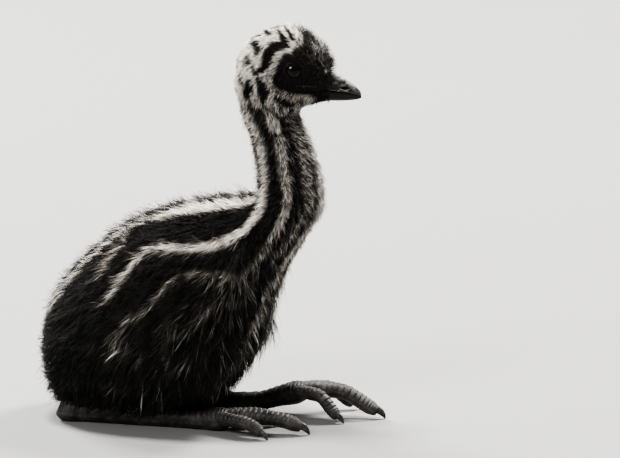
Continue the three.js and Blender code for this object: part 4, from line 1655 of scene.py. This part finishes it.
@dataclass
class Eyes:
    """The eyeballs and the lids round them."""

    rings: int = 40
    spokes: int = 64
    cornea: float = 0.25
    iris_angle: float = np.radians(50)
    # radius from the eye's middle, and height over it, of the lids' section
    lid: tuple = (
        (7.2, 0.6), (7.0, 2.2), (6.55, 3.6), (6.1, 4.35), (5.7, 4.8), (5.3, 5.1), (5.0, 5.2), (4.78, 5.05),
        (4.7, 4.75), (4.72, 4.4), (4.9, 3.9), (5.3, 3.2), (6.4, 1.0),
    )
    lid_rings: int = 56
    lid_spokes: int = 120
    lashes: int = 84
    lash_length: tuple = (1.3, 2.3)
    # shares of a lash's length, and its radius there in mm
    lash_shape: tuple = ((-0.15, 0.075), (0.35, 0.065), (0.7, 0.045), (1.0, 0.008))
    finish: EyeFinish = EyeFinish()
    lid_finish: HornFinish = HornFinish(
        "lid_skin", (0.008, 0.0075, 0.0075, 1), (0.035, 0.032, 0.03, 1), 500, 2600, 0.5, 0.00008, 0.0, 0.12
    )

    def build(self) -> None:
        """Makes both eyes and their lids."""
        material, lids = self.finish.material(), self.lid_finish.material()
        for side in Side:
            self._ball(side, material)
            self._lids(side, lids)
            self._lash_fringe(side, lids)

    def _axes(self, side: Side) -> tuple:
        """Finds the ways that an eye is modelled along.

        Args:
            side: the eye's side.

        Returns:
            The way that it looks, the way forward and the way up.
        """
        look = EYE.look(side)
        ahead = unit(np.array([1.0, 0, 0]) - look * look[0])
        return look, ahead, np.cross(look, ahead) * side.value * -1

    def _placed(self, points: Array, side: Side) -> Array:
        """Moves points round an eye's middle to the frame."""
        return to_metres(TURN.apply(points + EYE.centre(side), whole=True))

    def _ball(self, side: Side, material: Material) -> None:
        """Makes one eyeball with a raised cornea.

        Args:
            side: the eye's side.
            material: its material.
        """
        look, ahead, up = self._axes(side)
        tilt = np.linspace(0.02, np.pi - 0.02, self.rings)[:, None]
        turn = np.linspace(0, 2 * np.pi, self.spokes, endpoint=False)[None, :]
        radius = EYE.radius + self.cornea * bump(tilt, 0.6)
        points = (
            (radius * np.cos(tilt) + 0 * turn)[..., None] * look
            + (radius * np.sin(tilt) * np.cos(turn))[..., None] * ahead
            + (radius * np.sin(tilt) * np.sin(turn))[..., None] * up
        )
        made = make_object(f"eyeball_{side.label}", *closed_loft(self._placed(points, side)))
        disc = np.repeat(tilt[:, 0] / self.iris_angle, self.spokes)
        store(made.data, "disc", np.clip(np.append(disc, [0, 2]), 0, 2))
        point_outwards(made)
        dress(made, material, "eye", f"eye_{side.label}")

    def _lids(self, side: Side, material: Material) -> None:
        """Makes the fold of skin round one eye.

        Args:
            side: the eye's side.
            material: its material.
        """
        look, ahead, up = self._axes(side)
        turn = np.linspace(0, 2 * np.pi, self.lid_spokes, endpoint=False)
        section = smooth_table(self.lid, np.linspace(0, len(self.lid) - 1, self.lid_rings))
        opening = 1 + 0.06 * np.cos(turn) ** 2 - 0.1 * np.sin(turn) ** 2
        rings = []
        for k, (radius, height) in enumerate(section):
            inner = smooth_step(np.array(7.3 - radius), 0, 2.2)
            fold = 0.09 * np.sin(k * 1.35 + 1.2 * np.sin(3 * turn) + 0.5 * np.sin(7 * turn)) * inner
            fold = fold + 0.05 * np.sin(46 * turn + k) * inner * (1 - inner) * 4
            reach = radius * (1 + (opening - 1) * inner)
            corner = 0.35 * np.abs(np.cos(turn)) ** 12 * inner
            rings.append(
                (reach * np.cos(turn))[:, None] * ahead
                + (reach * np.sin(turn))[:, None] * up
                + (height + fold - corner)[:, None] * look
            )
        points = self._placed(np.array(rings).reshape(-1, 3), side)
        faces = grid_faces(self.lid_rings + 1, self.lid_spokes, True)
        made = make_object(f"lids_{side.label}", points, (np.array(faces) % len(points)).tolist())
        store(made.data, "crease", cloud(points / MM, 0.8, 4) * 0.7)
        point_outwards(made)
        dress(made, material, "scaly_skin")

    def _lash_fringe(self, side: Side, material: Material) -> None:
        """Makes the fringe of short bristles that springs from the rim of one eye's lids.

        Args:
            side: the eye's side.
            material: its material.
        """
        look, ahead, up = self._axes(side)
        chance = np.random.default_rng(7 + side.value)
        shares, radii = np.array(self.lash_shape).T
        ring = np.array([0, 2, 4]) * np.pi / 3
        spikes = []
        for k in range(self.lashes):
            turn = 2 * np.pi * (k + chance.uniform(-0.3, 0.3)) / self.lashes
            away = np.cos(turn) * ahead + np.sin(turn) * up
            length = chance.uniform(*self.lash_length) * (1 + 0.35 * np.sin(turn))
            root = (5.0 + chance.uniform(0, 0.7)) * away + (4.9 - chance.uniform(0, 0.5)) * look
            way = unit(away * 0.8 + look * chance.uniform(0.25, 0.6) - ahead * 0.35)
            stops = shares[:, None] * length
            spine = root + way * stops - look * 0.16 * stops**2 / length
            cross = unit(np.cross(way, look))
            circle = np.cos(ring)[:, None] * cross + np.sin(ring)[:, None] * np.cross(way, cross)
            spikes.append(closed_loft(spine[:, None] + radii[:, None, None] * circle))
        points, faces = joined(spikes)
        made = make_object(f"lash_fringe_{side.label}", self._placed(points, side), faces)
        store(made.data, "crease", np.full(len(points), 0.6))
        dress(made, material, "down")


@dataclass
class Bill:
    """The two halves of the bill, in horn."""

    # x, ridge, line of the mouth, underside and half-width
    table: tuple = (
        (103, 225.2, 210.9, 203.3, 9.1),
        (108.5, 222.2, 210.7, 203.6, 8.3),
        (113, 220, 210.1, 203.6, 7.3),
        (117.5, 217.3, 209.5, 203.7, 6.1),
        (121.5, 214.3, 208.7, 204.0, 4.7),
        (124.8, 211.6, 207.7, 204.5, 3.1),
        (126.6, 209.2, 206.9, 205.1, 1.7),
        (127.2, 207.6, 206.5, 205.6, 0.6),
    )
    steps: int = 96
    corners: int = 60
    gap: float = 0.3
    # x, z, half-length, half-height and tilt
    nostril: tuple = (116.9, 212.0, 3.0, 0.8, np.radians(4))
    # pale patches of the upper half: share, x, half-length, z and half-height
    worn: tuple = ((1.0, 116.4, 2.4, 214.3, 0.9), (0.7, 112, 3.2, 215.9, 1.9), (0.7, 122.6, 1.4, 211.9, 0.8))
    inner_columns: int = 7
    palate: float = 0.35
    least_height: float = 0.05
    finish: HornFinish = HornFinish(
        "bill_horn", (0.008, 0.0075, 0.0075, 1), (0.36, 0.345, 0.32, 1), 360, 1100, 0.34, 0.000018, 0.04, 0.2
    )

    def build(self) -> None:
        """Makes both halves."""
        material = self.finish.material()
        self._half("upper", 1, (1, 0.9, 1.0), material)
        self._half("lower", -1, (0.9, 0.6, 0.955), material)

    def _half(self, name: str, up: int, shape: tuple, material: Material) -> None:
        """Makes one half.

        Args:
            name: which half.
            up: 1 for the upper half, -1 for the lower.
            shape: its share of the full width, how square it is across, and its share of the length.
            material: its material.
        """
        width, square, end = shape
        place = (np.linspace(0, 1, self.steps) ** 0.9) * end * (len(self.table) - 1)
        row = smooth_table(self.table, place)
        x, ridge, mouth, under, half = (row[:, k : k + 1] for k in range(5))
        mouth = mouth + up * self.gap / 2
        edge = ridge if up > 0 else under
        across = np.cos(np.linspace(np.pi, 0, self.corners))[None, :]
        bulge = np.maximum(1 - np.abs(across) ** 1.6, 0) ** square
        y = half * width * across
        z = mouth + (edge - mouth) * np.maximum(bulge, self.least_height)
        depth = self._pits(x, z) if up > 0 else self._ramus(x, across)
        y = y - np.sign(y) * np.minimum(depth, np.abs(y) * 0.6)
        outer = np.stack([x + 0 * across, y, z], -1)
        share = np.linspace(1, -1, self.inner_columns + 2)[1:-1][None, :]
        inner_z = mouth + up * (self.palate * (1 - share**2))
        inner = np.stack([x + 0 * share, half * width * share, inner_z], -1)
        rings = np.concatenate([outer, inner], 1)
        made = make_object(f"beak_{name}", *closed_loft(to_metres(TURN.apply(rings, whole=True))))
        store(made.data, "crease", np.append(self._shade(rings, up).ravel(), END_SHADE))
        point_outwards(made)
        dress(made, material, "bill", f"bill_{name}")

    def _oval(self, x: Array, z: Array) -> Array:
        """Measures places against the nostril's oval.

        Args:
            x: places along the bill.
            z: their heights.

        Returns:
            0 in the nostril's middle and 1 on its rim.
        """
        at_x, at_z, long, high, tilt = self.nostril
        ahead = (x - at_x) * np.cos(tilt) - (z - at_z) * np.sin(tilt)
        above = (x - at_x) * np.sin(tilt) + (z - at_z) * np.cos(tilt)
        return np.sqrt((ahead / long) ** 2 + (above / high) ** 2)

    def _pits(self, x: Array, z: Array) -> Array:
        """Gives the depth of the nostril and of the groove round it.

        Args:
            x: places along the bill.
            z: their heights.

        Returns:
            The depth at each place in mm.
        """
        oval = self._oval(x, z)
        groove = np.exp(-(((x - 111.5) / 6.5) ** 2 + ((z - 213.6) / 2.2) ** 2) ** 2)
        return 1.3 * fade(oval, 0.55, 1.05) + 0.6 * groove - 0.12 * bump(oval - 1.35, 0.3)

    @staticmethod
    def _ramus(x: Array, across: Array) -> Array:
        """Gives the depth of the groove along the lower half."""
        return 0.3 * bump(np.abs(across) - 0.8, 0.12) * fade(x, 112, 122)

    def _shade(self, rings: Array, up: int) -> Array:
        """Works out how dark the horn is: high where it stays dark and where painted shade falls in the
        nostril and on the lower half, low on its pale patches and on the painted highlights of the ridge and
        of the edge over the mouth.

        Args:
            rings: the half's points on the unturned head.
            up: 1 for the upper half, -1 for the lower.

        Returns:
            The attribute at each point, from 0 to 1.
        """
        x, y, z = rings[..., 0], rings[..., 1], rings[..., 2]
        dark = 0.72 + 0.3 * cloud(rings * np.array([0.3, 1, 1]), 1.2, 8)
        if up > 0:
            patch = 0
            for share, at_x, long, at_z, high in self.worn:
                patch = patch + share * np.exp(-(((x - at_x) / long) ** 2 + ((z - at_z) / high) ** 2))
            # painted highlight: a pale line along the upper half's edge just above the mouth, and a paler
            # strip along the ridge
            edge = 0.7 * bump(z - 211.0 + 0.07 * (x - 112), 0.3) * (x < 120)
            dark = dark - 1.1 * bump(y, 2.2) - 0.6 * patch - edge
            # painted shade: the nostril's pit made fully dark
            dark = np.where(self._oval(x, z) < 1, 1.0, dark)
        # painted shade: the lower half darker all over
        return np.clip(dark + 0.4 * (up < 0), 0, 1)


@dataclass(frozen=True)
class Toe:
    """One toe: its reach, the way it points, its start, its half-widths, its scutes and its claw."""

    name: str
    reach: float
    spread: float
    start: float
    across: float
    thick: float
    plates: int
    claw: float

    def halves(self, taper: tuple) -> Array:
        """Gives half-widths across and up for shares of the toe's own."""
        return np.outer(taper, (self.across, self.thick))


@dataclass
class Foot:
    """One foot lying along the floor: tarsus, three toes and their claws."""

    side: Side
    back: float
    lift: float
    hock_x: float = -14
    leg_spread: float = 26
    base_x: float = 80
    # half-widths across and up along the tarsus
    tarsus_half: tuple = (
        (3, 3), (7, 6.6), (8, 7.6), (6.4, 6.4), (5.4, 5.6), (5.4, 5.5), (6.8, 6), (8.8, 6.8), (7, 5.2),
        (2.5, 2),
    )
    toes: tuple = (
        Toe("middle", 52.5, 0.0, 0.0, 4.8, 4.6, 20, 5.2),
        Toe("inner", 34, np.radians(-22), -4.4, 3.9, 3.8, 15, 4.6),
        Toe("outer", 35, np.radians(23), 4.4, 4, 3.8, 15, 4.6),
    )
    # shares of a toe's own half-widths along the toe and along its claw
    toe_taper: tuple = (0.85, 1, 0.99, 0.95, 0.92, 0.86, 0.55)
    claw_taper: tuple = (0.54, 0.5, 0.32, 0.08)
    tarsus_plates: int = 27
    tarsus_sides: int = 48
    toe_sides: int = 40
    claw_sides: int = 22
    plate_rise: float = 0.75
    plate_edge: float = 0.86
    scale_rise: float = 0.22
    ring_steps: int = 8
    claw_rings: int = 28
    skin_clearance: float = 0.3
    claw_clearance: float = 0.25

    def build(self, scales: Material, horn: Material) -> None:
        """Makes the foot and its claws.

        Args:
            scales: the material of the scaly skin.
            horn: the material of the claws.
        """
        side = self.side.label
        half = np.array(self.tarsus_half)
        limbs = [self._limb(self._tarsus_path(), half, self.tarsus_plates, self.tarsus_sides)]
        for toe in self.toes:
            half = toe.halves(self.toe_taper)
            limbs.append(self._limb(self._toe_path(toe), half, toe.plates, self.toe_sides))
            self._claw(toe, horn)
        made = make_object(f"foot_{side}", *joined([limb[:2] for limb in limbs]))
        store(made.data, "crease", np.concatenate([limb[2] for limb in limbs]))
        nodes = [f"tarsus_{side}"] + [f"toe_{toe.name}_{side}" for toe in self.toes]
        dress(made, scales, "scaly_skin", *nodes)

    def _tarsus_path(self) -> Array:
        """Gives the middle line of the tarsus.

        Returns:
            Its points from the hock to the toes, in mm.
        """
        hock, base, y = self.hock_x, self.base_x, self.leg_spread
        path = np.array([
            (hock - 9, y + 1, 8), (hock - 7, y + 1, 7.4), (hock, y + 0.6, 7), (hock + 10, y, 6),
            (base - 50, y, 5.2), (base - 24, y, 5.2), (base - 10, y, 5.8), (base, y, 6.6),
            (base + 6, y, 7.4), (base + 8.5, y, 7.6),
        ])
        path[:, 2] += self.lift * smooth_step(path[:, 0], base - 36, base + 6)
        return path

    def _toe_point(self, toe: Toe, along: float, z: float) -> tuple:
        """Gives the point of a toe at a distance along it."""
        y = self.leg_spread + toe.start + along * np.sin(toe.spread)
        return (self.base_x + along * np.cos(toe.spread), y, z)

    def _toe_path(self, toe: Toe) -> Array:
        """Gives the middle line of a toe.

        Args:
            toe: the toe.

        Returns:
            Its points from its root to its claw, in mm.
        """
        heights = [(-0.02, 7.4), (0.15, 8.2)]
        over = ((0.38, 4.6), (0.6, 4.7), (0.8, 3.6), (0.93, 1.6), (1, 0.4))
        heights += [(share, toe.thick + more) for share, more in over]
        path = []
        for share, z in heights:
            raised = self.lift * float(fade(share, 0.5, 0.97))
            path.append(self._toe_point(toe, share * toe.reach, z + raised))
        return np.array(path)

    def _sweep(self, path: Array, half: Array, stops: Array, sides: int) -> tuple:
        """Finds the middle, the ways and the half-sizes along a limb.

        Args:
            path: the middle line's points, as for the left leg.
            half: half-widths across and up at these points.
            stops: shares of its length where the rings are.
            sides: how many points a ring has.

        Returns:
            The middle, up and side; the half-sizes across and up; the ring's angles.
        """
        place = stops * (len(path) - 1)
        own_path = path * np.array([1, self.side.value, 1]) - np.array([self.back, 0, 0])
        centre = smooth_table(own_path, place)
        forward = unit(np.gradient(centre, axis=0))
        up = unit(np.array([0, 0, 1.0]) - forward * forward[:, 2:3])
        sizes = smooth_table(half, place)
        turn = np.linspace(0, 2 * np.pi, sides, endpoint=False)
        return (centre, up, np.cross(forward, up)), (sizes[:, :1], sizes[:, 1:]), turn[None, :]

    @staticmethod
    def _closed(ways: tuple, high: Array, wide: Array, clearance: float) -> tuple:
        """Makes a limb's rings and closes them.

        Args:
            ways: the middle, up and side along the limb.
            high: how far each point of a ring is up from the middle, in mm.
            wide: how far it is to the side.
            clearance: the height over the floor where the limb is pressed flat.

        Returns:
            The points in metres and the faces.
        """
        centre, up, side = (way[:, None] for way in ways)
        rings = centre + high[..., None] * up + wide[..., None] * side
        rings[..., 2] = np.maximum(rings[..., 2], clearance)
        return closed_loft(to_metres(rings))

    def _limb(self, path: Array, half: Array, plates: int, sides: int) -> tuple:
        """Makes a scaled limb: overlapping scutes on top, pads below.

        Args:
            path: its middle line.
            half: its half-widths.
            plates: how many scutes.
            sides: how many points a ring has.

        Returns:
            Points in metres, faces and the crease attribute.
        """
        stops = np.linspace(0, 1, plates * self.ring_steps + 1)
        ways, (across, thick), turn = self._sweep(path, half, stops, sides)
        share, rim = (stops * plates) % 1.0, self.plate_edge
        edge = np.where(share > rim, fade(share, rim, 1.0), 0.25 + 0.75 * share / rim)
        top = smooth_step(np.cos(turn), 0.12, 0.5)
        arched = edge[:, None] * (0.8 + 0.2 * np.cos(turn))
        lift = self.plate_rise * arched * top
        around = turn * sides / 4
        row = np.floor(around / (2 * np.pi)) % 2
        along = 2 * np.pi * plates * 1.45 * stops[:, None] + np.pi * row
        scales = (0.5 - 0.5 * np.cos(around)) ** 0.6 * (0.5 - 0.5 * np.cos(along)) ** 0.6 * (1 - top)
        pads = 0.35 * np.abs(np.sin(stops * np.pi * 3.5))[:, None] * np.maximum(-np.cos(turn), 0)
        grown = lift + self.scale_rise * scales
        high, wide = (thick + grown + pads) * np.cos(turn), (across + grown) * np.sin(turn)
        corners, faces = self._closed(ways, high, wide, self.skin_clearance)
        chance = np.random.default_rng(plates + int(self.back)).uniform(0, 0.3, plates + 1)
        groove = fade(edge, 0.1, 0.55)[:, None] * top
        tint = chance[np.floor(stops * plates).astype(int)][:, None] * top
        crease = np.clip(groove + tint + 0.55 * (1 - top) * (1 - scales), 0, 1)
        return corners, faces, np.append(crease.ravel(), END_SHADE)

    def _claw(self, toe: Toe, horn: Material) -> None:
        """Makes a toe's claw.

        Args:
            toe: the toe.
            horn: the material.
        """
        heights = ((-0.5, toe.thick + 1.4), (0.2, toe.thick + 0.8), (0.75, toe.thick * 0.62), (1, 0.4))
        path = np.array([self._toe_point(toe, toe.reach + share * toe.claw, z) for share, z in heights])
        stops, half = np.linspace(0, 1, self.claw_rings), toe.halves(self.claw_taper)
        ways, (across, thick), turn = self._sweep(path, half, stops, self.claw_sides)
        ridge = 1 + 0.08 * np.maximum(np.cos(turn), 0) ** 4
        high, wide = thick * ridge * np.cos(turn), across * np.sin(turn) * (1 - 0.15 * np.cos(turn))
        corners, faces = self._closed(ways, high, wide, self.claw_clearance)
        name = f"{toe.name}_{self.side.label}"
        made = make_object(f"horn_claw_{name}", corners, faces)
        store(made.data, "crease", 0.3 * cloud(corners / MM * np.array([0.5, 1, 1]), 1.0, 6))
        point_outwards(made)
        dress(made, horn, "claw", f"claw_{name}")


@dataclass
class Feet:
    """Both feet with their finishes."""

    scale_finish: HornFinish = HornFinish(
        "scaly_foot", (0.03, 0.0275, 0.025, 1), (0.115, 0.105, 0.095, 1), 150, 1300, 0.36, 0.00012
    )
    claw_finish: HornFinish = HornFinish(
        "claw_horn", (0.02, 0.018, 0.017, 1), (0.1, 0.09, 0.08, 1), 300, 1800, 0.28, 0.00005
    )

    def build(self) -> None:
        """Makes both feet."""
        scales, horn = self.scale_finish.material(), self.claw_finish.material()
        Foot(Side.LEFT, 0, 7.2).build(scales, horn)
        Foot(Side.RIGHT, 35, 0).build(scales, horn)


# Studio


@dataclass(frozen=True)
class SoftLight:
    """A large soft lamp that looks at the bird."""

    name: str
    place: tuple
    power: float
    size: float
    warmth: tuple = (1, 1, 1)

    def build(self, target: Vector) -> None:
        """Makes the lamp.

        Args:
            target: the point that it faces.
        """
        lamp = bpy.data.lights.new(self.name, "AREA")
        lamp.energy = self.power
        lamp.size = self.size
        lamp.color = self.warmth
        made = bpy.data.objects.new(self.name, lamp)
        made.location = self.place
        made.rotation_euler = (target - Vector(self.place)).to_track_quat("-Z", "Y").to_euler()
        bpy.context.scene.collection.objects.link(made)


@dataclass
class Studio:
    """The pale floor, the soft lights and the camera at the photograph's angle."""

    azimuth: float = np.radians(15)
    elevation: float = np.radians(12)
    lens: float = 300
    sensor: float = 36
    pixel: float = 0.615
    frame_width: int = 620
    aim: tuple = (96.2, 0.0, 124.1)
    floor_size: float = 8
    sky: tuple = (0.8, 0.81, 0.83, 1)
    sky_strength: float = 0.4
    look: str = "AgX - High Contrast"
    lights: tuple = (
        SoftLight("sun_side", (1.5, 2.3, 3.0), 310, 1.0, (1, 0.985, 0.96)),
        SoftLight("sun_above", (-0.75, 0.2, 4.2), 330, 0.8, (1, 0.985, 0.96)),
        SoftLight("front_key", (-1.1, -3.2, 2.5), 120, 1.4),
        SoftLight("rear_rim", (-2.3, 1.7, 1.9), 200, 1.0),
    )

    def build(self) -> None:
        """Makes floor, lights, surroundings and camera."""
        half = self.floor_size / 2
        corners = np.array([(-half, -half, 0), (half, -half, 0), (half, half, 0), (-half, half, 0)], float)
        floor = make_object("floor", corners, [[0, 1, 2, 3]], smooth=False)
        floor.data.materials.append(FloorFinish().material())
        target = Vector(to_metres(np.array(self.aim)))
        for light in self.lights:
            light.build(target)
        world = bpy.data.worlds.new("studio")
        world.use_nodes = True
        background = world.node_tree.nodes["Background"]
        background.inputs["Color"].default_value = self.sky
        background.inputs["Strength"].default_value = self.sky_strength
        bpy.context.scene.world = world
        bpy.context.scene.view_settings.look = self.look
        self._camera(target)

    def _camera(self, target: Vector) -> None:
        """Makes the camera.

        Args:
            target: the point in the middle of its view.
        """
        cos_a, sin_a = np.cos(self.azimuth), np.sin(self.azimuth)
        cos_e, sin_e = np.cos(self.elevation), np.sin(self.elevation)
        right = Vector((cos_a, sin_a, 0))
        back = Vector((sin_a * cos_e, -cos_a * cos_e, sin_e))
        up = back.cross(right)
        width = self.frame_width * self.pixel * MM
        camera = bpy.data.cameras.new("camera")
        camera.lens = self.lens
        camera.sensor_width = self.sensor
        camera.clip_end = 50
        made = bpy.data.objects.new("camera", camera)
        turn = Matrix((right, up, back)).transposed().to_4x4()
        made.matrix_world = Matrix.Translation(target + back * (width * self.lens / self.sensor)) @ turn
        bpy.context.scene.collection.objects.link(made)
        bpy.context.scene.camera = made


def main() -> None:
    """Builds the bird piece by piece, then the studio."""
    logging.basicConfig(level=logging.INFO, format="%(name)s %(message)s")
    Studio().build()
    Plumage().build()
    Eyes().build()
    Bill().build()
    Feet().build()


if __name__ == "__main__":
    main()
